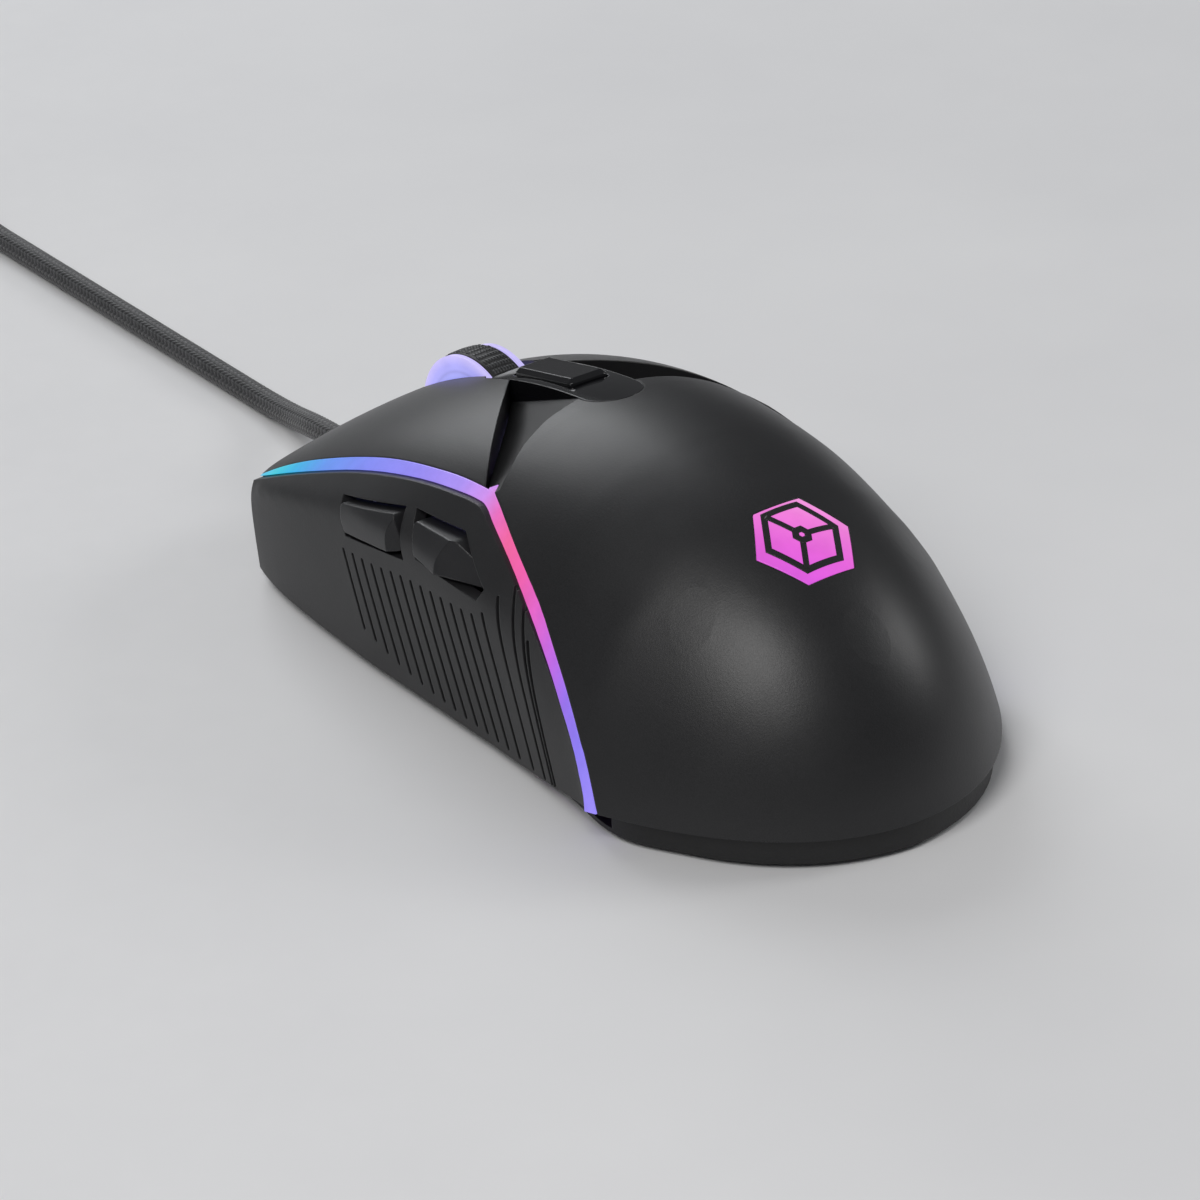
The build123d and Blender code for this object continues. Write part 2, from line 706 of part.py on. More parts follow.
def bevel_plane(y, z, outward, normal):
    """Plane through a point at a distance outside the left side wall."""
    return Plane(origin=(-side_x(y, z) - outward, y, z), x_dir=(0, 0, 1), z_dir=normal)


def side_button_front():
    return side_button(
        FRONT_BUTTON, radii=[0.4, 0.5, 0.5, 0.6],
        bulge=smooth_table([13, 22, 30], [0.75, 0.35, 0.05]),
        switch_point=SIDE_SWITCHES["front"],
        bevel=bevel_plane(14.2, 24.2, 0.70, (-0.75, -0.585, 0.305)))


def side_button_rear():
    return side_button(
        REAR_BUTTON, radii=[0.5, 1.8, 0, 0.5, 0.5],
        bulge=smooth_table([-8, -2, 4, 11], [1.9, 1.5, 0.8, 0.2]),
        switch_point=SIDE_SWITCHES["rear"],
        bevel=bevel_plane(1.75, 26.0, 1.05, (-0.85, -0.402, 0.341)))


def side_button_board():
    return yz_prism([(-4, PCB_TOP), (26, PCB_TOP), (26, 24.0), (16, 25.6), (-4, 27.2)],
                    SIDE_BOARD_X, SIDE_BOARD_X + 1.0)


# ---- centre strip, its button and the nose bridge --------------------------------------------------------
SPINE_BAR = rect(-SPINE_W, 2.9, SPINE_W, 24.6)


def spine_cover():
    with BuildPart() as cover:
        with BuildSketch(Plane.XY.offset(20)):
            with BuildLine():
                Polyline(*SPINE_BAR, close=True)
            make_face()
            with Locations((0, 2.95)):
                Circle(SPINE_W)
        extrude(amount=40)
        add(BODY_OUTER, mode=Mode.INTERSECT)
        add(BODY_INNER, mode=Mode.SUBTRACT)
        with BuildSketch(Plane.XY.offset(30)):
            with Locations((0, DPI_Y)):
                RectangleRounded(6.5, 14.6, 0.9)
        extrude(amount=20, mode=Mode.SUBTRACT)
    # two legs stand on the small board below
    with BuildPart() as legs:
        with BuildSketch(Plane.XY.offset(DPI_BOARD_TOP)):
            with Locations((0, 3.6)):
                Rectangle(3.4, 2.2)
            with Locations((0, 22.4)):
                Rectangle(3.4, 1.2)
        extrude(amount=12.0)
        add(BODY_OUTER, mode=Mode.INTERSECT)
    # side skirts hide the board and close the gap over the facets
    with BuildPart() as skirts:
        add(blocks([(-3.95, 13.6), (3.95, 13.6)], (1.0, 21.4), DPI_BOARD_TOP + 0.05, 12.0))
        add(xy_prism(SPINE_BAR, 20, 60), mode=Mode.INTERSECT)
        add(Pos(0, 0, -1.0) * BODY_OUTER, mode=Mode.INTERSECT)
    with BuildPart() as spine:
        add(cover.part)
        add(legs.part)
        add(skirts.part)
    return spine.part


def dpi_button():
    size, corner, proud = (6.2, 14.0), 0.8, 0.15
    with BuildPart() as button:
        with BuildSketch(DPI_PLANE.offset(-1.6)):
            RectangleRounded(*size, corner)
        extrude(amount=1.6 + proud)
        with BuildSketch(DPI_PLANE.offset(proud)):
            RectangleRounded(*size, corner)
        extrude(amount=0.6, taper=48)
        # stem over the switch plunger
        with BuildSketch(Plane.XY.offset(36.99)):
            with Locations((0, DPI_Y)):
                Rectangle(2.6, 2.6)
        extrude(amount=1.6)
    return button.part


def nose_bridge():
    """Piece of the shell between the buttons, in front of the wheel."""
    with BuildPart() as bridge:
        add(xy_prism(rect(-3.7, 46.3, 3.7, 66), 11.0, 60))
        add(BODY_OUTER, mode=Mode.INTERSECT)
        add(BODY_INNER, mode=Mode.SUBTRACT)
    return bridge.part


# ---- base tray -------------------------------------------------------------------------------------------
# right half of the tray outline in plan (x, y), rear to front
BASE_SIDE = [
    (6, -61.5), (11.5, -59.4), (17.5, -55.2), (22.4, -49.6), (26, -43.6), (28.7, -38),
    (29.1, -33.5), (28.4, -28), (27.5, -21), (27, -12), (26.9, 0), (26.9, 15), (26.6, 25),
    (26.1, 33), (25.4, 40), (24.6, 46), (23.2, 51.5), (20.6, 55.4), (15, 58.4), (8, 60.2)]


def closed_region(points):
    """Plan region inside a closed smooth curve."""
    with BuildSketch() as region:
        with BuildLine():
            Spline(*points, periodic=True)
        make_face()
    return region.sketch


def inset_points(region, distance, count=64):
    """Points of a region's outline moved inwards."""
    wire = region.faces()[0].outer_wire()
    points = []
    for i in range(count):
        point, along = wire @ (i / count), wire % (i / count)
        dx, dy = -along.Y * distance, along.X * distance
        sides = [(point.X + dx, point.Y + dy), (point.X - dx, point.Y - dy)]
        points.append(min(sides, key=lambda p: math.hypot(*p)))
    return points


def base_shell():
    outline = closed_region([(0, -62.4)] + BASE_SIDE + [(0, 60.8)] + mirrored(BASE_SIDE))
    step = closed_region(inset_points(outline, 2.3))
    cavity = closed_region(inset_points(outline, 4.1))
    front_cavity = closed_region(inset_points(outline, 2.0))
    post_height = PCB_Z - FLOOR_TOP
    # z, centres, radius, height, mode
    rounds = [
        (FLOOR_TOP, PCB_POSTS, 2.8, post_height, Mode.ADD),              # board posts
        (BASE_Z, SCREW_POINTS, 3.8, 8.9 - BASE_Z, Mode.ADD),             # screw posts
        (BASE_Z, SCREW_POINTS, 2.7, 2.8, Mode.SUBTRACT),                 # head recesses
        (BASE_Z, SCREW_POINTS, 1.2, 9, Mode.SUBTRACT),                   # screw holes
        (FLOOR_TOP, PCB_POSTS, 0.9, post_height, Mode.SUBTRACT),         # board screw holes
    ]
    with BuildPart() as base:
        with BuildSketch(Plane.XY.offset(BASE_Z)):
            add(outline)
        extrude(amount=FLANGE_T)
        with BuildSketch(Plane.XY.offset(FLANGE_TOP)):
            add(step)
        extrude(amount=4.8)
        # full-width wall at the two ends
        with BuildSketch(Plane.XY.offset(FLANGE_TOP)):
            add(outline)
            with Locations((0, 15)):
                Rectangle(80, 101, mode=Mode.SUBTRACT)
        extrude(amount=2.9)
        with BuildSketch(Plane.XY.offset(FLOOR_TOP)):
            add(cavity)
        extrude(amount=20, mode=Mode.SUBTRACT)
        # front wall under the button noses
        with BuildSketch(Plane.XY.offset(FLANGE_TOP)):
            add(outline)
            add(front_cavity, mode=Mode.SUBTRACT)
            with Locations((0, 60)):
                Rectangle(45.0, 16, mode=Mode.INTERSECT)
        extrude(amount=11.0 - FLANGE_TOP)
        for z, centres, radius, height, mode in rounds:
            with BuildSketch(Plane.XY.offset(z)):
                with Locations(*centres):
                    Circle(radius)
            extrude(amount=height, mode=mode)
        # window for the sensor
        with BuildSketch(Plane.XY.offset(BASE_Z)):
            with Locations(SENSOR_POINT):
                RectangleRounded(8.4, 8.4, 1.2)
        extrude(amount=FLOOR, mode=Mode.SUBTRACT)
        # cable exit, then the pocket for the flange of the strain relief
        for y, radius, depth in ((70, 3.05, 16), (58.75, 4.0, 5)):
            with BuildSketch(Plane.XZ.offset(-y)):
                with Locations((0, EXIT_Z)):
                    Circle(radius)
            extrude(amount=depth, mode=Mode.SUBTRACT)
    return base.part


# ---- glide feet ----------------------------------------------------------------------------------------------
def chamfer_underside(foot):
    chamfer(foot.faces().sort_by(Axis.Z)[0].edges(), length=0.15)


def slot_foot(y, length, width):
    with BuildPart() as foot:
        with BuildSketch():
            with Locations((0, y)):
                SlotOverall(length, width)
        extrude(amount=BASE_Z)
        chamfer_underside(foot)
    return foot.part


def sensor_foot_ring():
    with BuildPart() as foot:
        with BuildSketch():
            with Locations(SENSOR_POINT):
                Circle(11.0)
                Circle(8.0, mode=Mode.SUBTRACT)
        extrude(amount=BASE_Z)
        chamfer_underside(foot)
    return foot.part


# ---- fasteners -----------------------------------------------------------------------------------------------
def case_screws():
    """Cross-head screws from below, through the tray into the palm bosses."""
    head_z, head_height = 1.7, 1.9
    with BuildPart() as screws:
        with BuildSketch(Plane.XY.offset(head_z)):
            with Locations(*SCREW_POINTS):
                Circle(2.4)
        extrude(amount=head_height)
        with BuildSketch(Plane.XY.offset(head_z + head_height)):
            with Locations(*SCREW_POINTS):
                Circle(1.0)
        extrude(amount=12.5)
        with BuildSketch(Plane.XY.offset(head_z)):
            with Locations(*SCREW_POINTS):
                Rectangle(2.8, 0.6)
                Rectangle(0.6, 2.8)
        extrude(amount=1.0, mode=Mode.SUBTRACT)
    return screws.part


def pcb_screws():
    tip_z = 3.2
    with BuildPart() as screws:
        with BuildSketch(Plane.XY.offset(PCB_TOP)):
            with Locations(*PCB_POSTS):
                Circle(1.9)
        extrude(amount=1.3)
        with BuildSketch(Plane.XY.offset(tip_z)):
            with Locations(*PCB_POSTS):
                Circle(0.85)
        extrude(amount=PCB_TOP - tip_z)
    return screws.part


# ---- main board and sensor -----------------------------------------------------------------------------------
LED_POINTS = [(0, -29.0), (-18.5, -8.0), (18.5, -8.0), (0, WHEEL_Y), (-18.5, 30.0), (18.5, 30.0)]


def main_pcb():
    left_half = [(-16, 53.6), (-21.6, 44), (-21.6, -28), (-12, -34)]
    with BuildPart() as board:
        with BuildSketch(Plane.XY.offset(PCB_Z)):
            with BuildLine():
                Polyline(*left_half, *mirrored(left_half), close=True)
            make_face()
            with Locations(*PCB_POSTS):
                Circle(1.1, mode=Mode.SUBTRACT)
            with Locations(SENSOR_POINT):
                RectangleRounded(7.0, 9.0, 0.8, mode=Mode.SUBTRACT)
        extrude(amount=PCB_T)
    return board.part


def optical_sensor():
    with BuildPart() as sensor:
        with BuildSketch(Plane.XY.offset(PCB_TOP)):
            with Locations(SENSOR_POINT):
                Rectangle(10.9, 14.6)
        extrude(amount=2.4)
        chamfer(sensor.faces().sort_by(Axis.Z)[-1].edges(), length=0.4)
    return sensor.part


def sensor_lens():
    lens_z, plate_z = 1.3, 4.9
    with BuildPart() as lens:
        with BuildSketch(Plane.XY.offset(plate_z)):
            with Locations(SENSOR_POINT):
                RectangleRounded(12, 19, 1.5)
        extrude(amount=1.4)
        with BuildSketch(Plane.XY.offset(lens_z)):
            with Locations(SENSOR_POINT):
                RectangleRounded(8.0, 8.0, 1.0)
        extrude(amount=plate_z - lens_z)
        with BuildSketch(Plane.XY.offset(lens_z)):
            with Locations(SENSOR_POINT):
                Circle(2.2)
        extrude(amount=1.2, mode=Mode.SUBTRACT)
    return lens.part


def main_switch_body(x):
    with BuildPart() as switch:
        with BuildSketch(Plane.XY.offset(PCB_TOP)):
            with Locations((x, SWITCH_Y)):
                Rectangle(5.8, 12.8)
        extrude(amount=6.5)
        chamfer(switch.edges().filter_by(Axis.Y).group_by(Axis.Z)[-1], length=0.5)
        with BuildSketch(Plane.XY.offset(PCB_TOP + 3.7)):
            with Locations((x, PLUNGER_Y)):
                Circle(1.15)
        extrude(amount=4.0, mode=Mode.SUBTRACT)
    return switch.part


# ---- wheel -----------------------------------------------------------------------------------------------------
WHEEL_PLANE = Plane(origin=(0, WHEEL_Y, WHEEL_Z), x_dir=(0, 1, 0), z_dir=(1, 0, 0))


def wheel_hub():
    cheek_r = WHEEL_R - 0.35
    # start along the axis, radius, width: two side discs and the core
    discs = [(-WHEEL_W / 2, cheek_r, CHEEK_T),
             (WHEEL_W / 2 - CHEEK_T, cheek_r, CHEEK_T),
             (-WHEEL_W / 2, WHEEL_R - TYRE_DEPTH, WHEEL_W)]
    with BuildPart() as hub:
        for start, radius, width in discs:
            with BuildSketch(WHEEL_PLANE.offset(start)):
                Circle(radius)
            extrude(amount=width)
        with BuildSketch(WHEEL_PLANE.offset(-5)):
            Circle(AXLE_R)
        extrude(amount=10, mode=Mode.SUBTRACT)
    return hub.part


def wheel_tyre():
    cheek_room = CHEEK_T + 0.01
    with BuildPart() as tyre:
        with BuildSketch(WHEEL_PLANE.offset(-WHEEL_W / 2 + cheek_room)):
            Circle(WHEEL_R)
            Circle(WHEEL_R - TYRE_DEPTH, mode=Mode.SUBTRACT)
        extrude(amount=WHEEL_W - 2 * cheek_room)
    return tyre.part


def encoder_disc():
    with BuildPart() as disc:
        with BuildSketch(WHEEL_PLANE.offset(8.8)):
            Circle(5.6)
            Circle(AXLE_R, mode=Mode.SUBTRACT)
            with PolarLocations(4.4, 12):
                Rectangle(1.6, 0.9, mode=Mode.SUBTRACT)
        extrude(amount=0.8)
    return disc.part


def encoder_sensor():
    """Forked block around the encoder disc."""
    centre = (9.2, WHEEL_Y)
    with BuildPart() as sensor:
        with BuildSketch(Plane.XY.offset(PCB_TOP)):
            with Locations(centre):
                Rectangle(5.2, 4.2)
        extrude(amount=12.4)
        with BuildSketch(Plane.XY.offset(16.6)):
            with Locations(centre):
                Rectangle(2.0, 6)
        extrude(amount=6, mode=Mode.SUBTRACT)
    return sensor.part


# one cradle arm in side view (y, z)
CRADLE_ARM = [
    (10, 18.9), (24, 19.4), (32.6, 20.4), (40, 17.6), (46.0, 14.6), (49.2, 14.6), (49.2, 17.4),
    (46.5, 18.2), (40.0, 22.0), (34.5, 26.0), (30.6, 26.2), (24, 23.6), (10, 23.1)]


def wheel_cradle():
    """Two arms, cross bars, pivot pins and the foot that presses the wheel switch."""
    with BuildPart() as cradle:
        with BuildSketch(Plane.YZ.offset(4.3)):
            with BuildLine():
                Polyline(*CRADLE_ARM, close=True)
            make_face()
            with Locations((CRADLE_Y, CRADLE_Z)):
                Circle(2.4)
        extrude(amount=1.5)
        mirror(about=Plane.YZ)
        # cross bars
        with BuildSketch(Plane.YZ.offset(-5.0)):
            with Locations((14.2, 20.6)):
                Rectangle(2.6, 2.2)
            with Locations((47.7, 16.0)):
                Rectangle(2.8, 2.8)
        extrude(amount=10)
        # foot over the switch plunger
        with BuildSketch(Plane.XY.offset(13.06)):
            with Locations(WHEEL_SWITCH_POINT):
                Rectangle(3, 2.6)
        extrude(amount=2.5)
        # pivot pins
        for x in (-7.7, 4.7):
            with BuildSketch(Plane.YZ.offset(x)):
                with Locations((CRADLE_Y, CRADLE_Z)):
                    Circle(PIVOT_R)
            extrude(amount=3.0)
        # axle bore
        with BuildSketch(Plane.YZ.offset(-8)):
            with Locations((WHEEL_Y, WHEEL_Z)):
                Circle(AXLE_R + AXLE_CLEAR)
        extrude(amount=16, mode=Mode.SUBTRACT)
    return cradle.part


def cradle_holder():
    """Foot plate with two upright ears that carry the pivot pins."""
    plate_t = 1.4
    with BuildPart() as holder:
        with BuildSketch(Plane.XY.offset(PCB_TOP)):
            with Locations((0, CRADLE_Y)):
                Rectangle(16.0, 9)
        extrude(amount=plate_t)
        with BuildSketch(Plane.XY.offset(PCB_TOP + plate_t)):
            with Locations((-7.1, CRADLE_Y), (7.1, CRADLE_Y)):
                Rectangle(1.8, 7)
        extrude(amount=14.6)
        with BuildSketch(Plane.YZ.offset(-9)):
            with Locations((CRADLE_Y, CRADLE_Z)):
                Circle(PIVOT_R + PIVOT_CLEAR)
        extrude(amount=18, mode=Mode.SUBTRACT)
    return holder.part


# ---- cable and strain relief --------------------------------------------------------------------------------------
# y stations of the cable: start, first bend, straight run on the desk, second bend, end
CABLE_START_Y, BEND1_Y0, BEND1_Y1, BEND2_Y0, BEND2_Y1, CABLE_END_Y = 56.5, 67.5, 106, 184, 206, 214


def cable():
    """Round cable; two equal tangent arcs make each offset bend."""
    drop = EXIT_Z - CABLE_Z
    sideways = math.hypot(CABLE_X, drop)
    angle1 = 2 * math.atan2(sideways, BEND1_Y1 - BEND1_Y0)
    angle2 = 2 * math.atan2(PLUG_Z - CABLE_Z, BEND2_Y1 - BEND2_Y0)
    middle1 = (CABLE_X / 2, (BEND1_Y0 + BEND1_Y1) / 2, (EXIT_Z + CABLE_Z) / 2)
    middle2 = (CABLE_X, (BEND2_Y0 + BEND2_Y1) / 2, (CABLE_Z + PLUG_Z) / 2)
    direction1 = (math.sin(angle1) * CABLE_X / sideways, math.cos(angle1),
                  -math.sin(angle1) * drop / sideways)
    direction2 = (0, math.cos(angle2), math.sin(angle2))
    start = (0, CABLE_START_Y, EXIT_Z)
    bend1_start = (0, BEND1_Y0, EXIT_Z)
    bend1_end = (CABLE_X, BEND1_Y1, CABLE_Z)
    bend2_start = (CABLE_X, BEND2_Y0, CABLE_Z)
    bend2_end = (CABLE_X, BEND2_Y1, PLUG_Z)
    with BuildPart() as cord:
        with BuildLine():
            Line(start, bend1_start)
            TangentArc(bend1_start, middle1, tangent=(0, 1, 0))
            TangentArc(middle1, bend1_end, tangent=direction1)
            Line(bend1_end, bend2_start)
            TangentArc(bend2_start, middle2, tangent=(0, 1, 0))
            TangentArc(middle2, bend2_end, tangent=direction2)
            Line(bend2_end, (CABLE_X, CABLE_END_Y, PLUG_Z))
        with BuildSketch(facing_front(*start)):
            Circle(CABLE_R)
        sweep()
    return cord.part


def strain_relief():
    # start y, radius, length, taper: flange, neck, collar, tapered sleeve
    stages = [(57.6, 3.9, 1.0, 0), (57.6, 3.0, 3.4, 0), (61.0, 3.35, 1.2, 0),
              (62.2, 3.1, 4.6, 4)]
    with BuildPart() as relief:
        for y, radius, length, taper in stages:
            with BuildSketch(facing_front(0, y, EXIT_Z)):
                Circle(radius)
            extrude(amount=length, taper=taper)
        with BuildSketch(facing_front(0, 57.0, EXIT_Z)):
            Circle(CABLE_BORE_R)
        extrude(amount=12, mode=Mode.SUBTRACT)
    return relief.part


def cable_wires():
    """Four thin wires from the cable end to the connector."""
    start_y = 56.45
    with BuildPart() as wires:
        for i in range(4):
            x = -0.9 + 0.6 * i
            start = (x, start_y, EXIT_Z + (0.55 if i % 2 else -0.3))
            with BuildLine():
                Spline(start, (3.4 + x, 54.6, 9.3),
                       (7.5 + 1.5 * i - 0.6, 54.2, 9.8 + 0.3 * (i % 2)),
                       (7.4 + 1.8 * i, 53.55, 10.2),
                       tangents=[(0, -1, 0), (0, -1, 0)])
            with BuildSketch(Plane(origin=start, x_dir=(1, 0, 0), z_dir=(0, -1, 0))):
                Circle(0.27)
            sweep()
    return wires.part


# ---- USB plug -----------------------------------------------------------------------------------------------------
def usb_overmold():
    with BuildPart() as overmold:
        with BuildSketch(facing_front(CABLE_X, 208.0, PLUG_Z)):
            RectangleRounded(7.4, 6.0, 2.4)
        extrude(amount=5.0)
        with BuildSketch(facing_front(CABLE_X, 212.0, PLUG_Z)):
            RectangleRounded(15.4, 7.8, 2.0)
        extrude(amount=20.0)
        fillet(overmold.faces().sort_by(Axis.Y)[-1].edges(), radius=0.6)
        with BuildSketch(facing_front(CABLE_X, 207.0, PLUG_Z)):
            Circle(CABLE_BORE_R)
        extrude(amount=7.1, mode=Mode.SUBTRACT)
    return overmold.part


def usb_shell():
    """Metal sleeve with two square holes through top and bottom."""
    with BuildPart() as shell:
        with BuildSketch(facing_front(CABLE_X, SHELL_Y, PLUG_Z)):
            RectangleRounded(12.0, 4.5, 0.5)
            RectangleRounded(11.4, 3.9, 0.3, mode=Mode.SUBTRACT)
        extrude(amount=14.0)
        with BuildSketch(Plane.XY.offset(PLUG_Z)):
            with Locations((CABLE_X - 3.0, 240.5), (CABLE_X + 3.0, 240.5)):
                Rectangle(2.4, 2.4)
        extrude(amount=5, both=True, mode=Mode.SUBTRACT)
    return shell.part


def usb_tongue():
    with BuildPart() as tongue:
        with BuildSketch(facing_front(CABLE_X, SHELL_Y, PLUG_Z - 0.95)):
            Rectangle(11.0, 1.9)
        extrude(amount=13.3)
    return tongue.part


def usb_contacts():
    with BuildPart() as contacts:
        for dx in (-3.5, -1.0, 1.0, 3.5):
            with BuildSketch(facing_front(CABLE_X + dx, SHELL_Y, PLUG_Z + 0.125)):
                Rectangle(1.0, 0.25)
            extrude(amount=12.0)
    return contacts.part


# ---- build and write every piece ------------------------------------------------------------------------------------
BOARD_TOP = Plane.XY.offset(PCB_TOP)
DPI_BASE = Plane.XY.offset(DPI_BOARD_TOP)
button = left_button()
light_guide = left_light_guide()
plain_panel = grooved_panel()

pieces = {
    "palm_shell": palm_shell(),
    "badge_lens": badge_lens(),
    "left_button": button,
    "right_button": mirror_part(button),
    "left_light_guide": light_guide,
    "right_light_guide": mirror_part(light_guide),
    "left_side_panel": left_side_panel(plain_panel),
    "right_side_panel": mirror_part(plain_panel),
    "side_button_front": side_button_front(),
    "side_button_rear": side_button_rear(),
    "spine_cover": spine_cover(),
    "dpi_button": dpi_button(),
    "nose_bridge": nose_bridge(),
    "base_shell": base_shell(),
    "front_foot": slot_foot(y=50.5, length=25, width=6.5),
    "rear_foot": slot_foot(y=-45.0, length=30, width=7),
    "sensor_foot_ring": sensor_foot_ring(),
    "case_screws": case_screws(),
    "pcb_screws": pcb_screws(),
    "main_pcb": main_pcb(),
    "optical_sensor": optical_sensor(),
    "sensor_lens": sensor_lens(),
    "controller_chip": blocks([(8.5, -22)], size=(7, 7), z=PCB_TOP, height=1.0),
    "rgb_leds": blocks(LED_POINTS, size=(3.5, 2.8), z=PCB_TOP, height=1.4),
    "badge_light_pipe": badge_light_pipe(),
    "wheel_hub": wheel_hub(),
    "wheel_tyre": wheel_tyre(),
    "wheel_axle": pin(WHEEL_PLANE.offset(-6.1), (0, 0), radius=AXLE_R, length=16.4),
    "encoder_disc": encoder_disc(),
    "encoder_sensor": encoder_sensor(),
    "wheel_cradle": wheel_cradle(),
    "cradle_holder": cradle_holder(),
    "wheel_switch_body": bored_box(BOARD_TOP, WHEEL_SWITCH_POINT, size=(6, 6), height=4.2,
                                   bore_start=2.2, bore_radius=1.35),
    "wheel_switch_plunger": pin(BOARD_TOP.offset(2.9), WHEEL_SWITCH_POINT,
                                radius=1.3, length=2.1),
    "dpi_board": blocks([(0, 12.4)], size=(8.6, 20.4), z=DPI_BOARD_Z, height=DPI_BOARD_T),
    "dpi_switch_body": bored_box(DPI_BASE, (0, DPI_Y), size=(4.5, 4.5), height=3.2,
                                 bore_start=1.6, bore_radius=1.05),
    "dpi_switch_plunger": pin(DPI_BASE.offset(2.2), (0, DPI_Y), radius=1.0, length=1.75),
    "side_button_board": side_button_board(),
    "cable": cable(),
    "strain_relief": strain_relief(),
    "cable_connector": blocks([(10.2, 51.2)], size=(9.6, 4.6), z=PCB_TOP, height=4.4),
    "cable_wires": cable_wires(),
    "usb_overmold": usb_overmold(),
    "usb_shell": usb_shell(),
    "usb_tongue": usb_tongue(),
    "usb_contacts": usb_contacts(),
}
for hand, x in (("left", -SWITCH_X), ("right", SWITCH_X)):
    pieces[f"{hand}_switch_body"] = main_switch_body(x)
    pieces[f"{hand}_switch_plunger"] = pin(BOARD_TOP.offset(4.6), (x, PLUNGER_Y),
                                           radius=1.1, length=2.6)
for place, point in SIDE_SWITCHES.items():
    # the side switches point outwards, to the left
    pieces[f"side_switch_{place}_body"] = bored_box(
        Plane.YZ.offset(SIDE_BOARD_X), point, size=(5.0, 4.4), height=2.7,
        bore_start=0.8, bore_radius=1.15, toward=-1)
    pieces[f"side_switch_{place}_plunger"] = pin(
        Plane.YZ.offset(SIDE_BOARD_X - 1.7), point, radius=1.1, length=-2.0)

for label, piece in pieces.items():
    piece.label = label
    export_step(piece, f"parts/{label}.step")
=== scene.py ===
"""Looks, floor, lights and camera for a wired computer mouse with lit strips, wheel and badge.

The mouse stands on the floor at z = 0. X runs across it, Y along it with the scroll wheel
towards +Y, Z up. Lengths are metres unless a name or comment says millimetres.
"""
import math

import bpy
import bmesh
import numpy as np
from mathutils import Matrix, Vector
from mathutils.bvhtree import BVHTree


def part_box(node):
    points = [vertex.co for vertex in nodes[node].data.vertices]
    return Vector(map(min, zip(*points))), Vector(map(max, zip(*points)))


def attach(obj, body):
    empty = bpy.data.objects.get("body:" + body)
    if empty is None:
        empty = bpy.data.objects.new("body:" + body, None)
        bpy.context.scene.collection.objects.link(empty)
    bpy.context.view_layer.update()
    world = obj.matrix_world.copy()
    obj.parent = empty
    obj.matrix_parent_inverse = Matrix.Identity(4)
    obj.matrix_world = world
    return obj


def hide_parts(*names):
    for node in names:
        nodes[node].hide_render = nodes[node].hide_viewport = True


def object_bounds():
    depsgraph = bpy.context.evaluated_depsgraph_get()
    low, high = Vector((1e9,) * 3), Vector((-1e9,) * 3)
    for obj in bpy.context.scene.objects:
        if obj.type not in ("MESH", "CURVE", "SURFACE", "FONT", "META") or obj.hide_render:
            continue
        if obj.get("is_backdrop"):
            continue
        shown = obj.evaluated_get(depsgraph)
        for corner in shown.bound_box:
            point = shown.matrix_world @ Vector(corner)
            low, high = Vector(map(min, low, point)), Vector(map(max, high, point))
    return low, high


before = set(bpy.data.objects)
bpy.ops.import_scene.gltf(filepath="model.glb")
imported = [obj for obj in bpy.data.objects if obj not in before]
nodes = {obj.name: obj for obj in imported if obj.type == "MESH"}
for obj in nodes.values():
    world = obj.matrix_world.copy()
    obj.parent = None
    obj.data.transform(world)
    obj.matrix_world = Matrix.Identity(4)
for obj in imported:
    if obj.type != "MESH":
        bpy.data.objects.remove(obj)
cad_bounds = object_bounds()
scene = bpy.context.scene
MM = 0.001


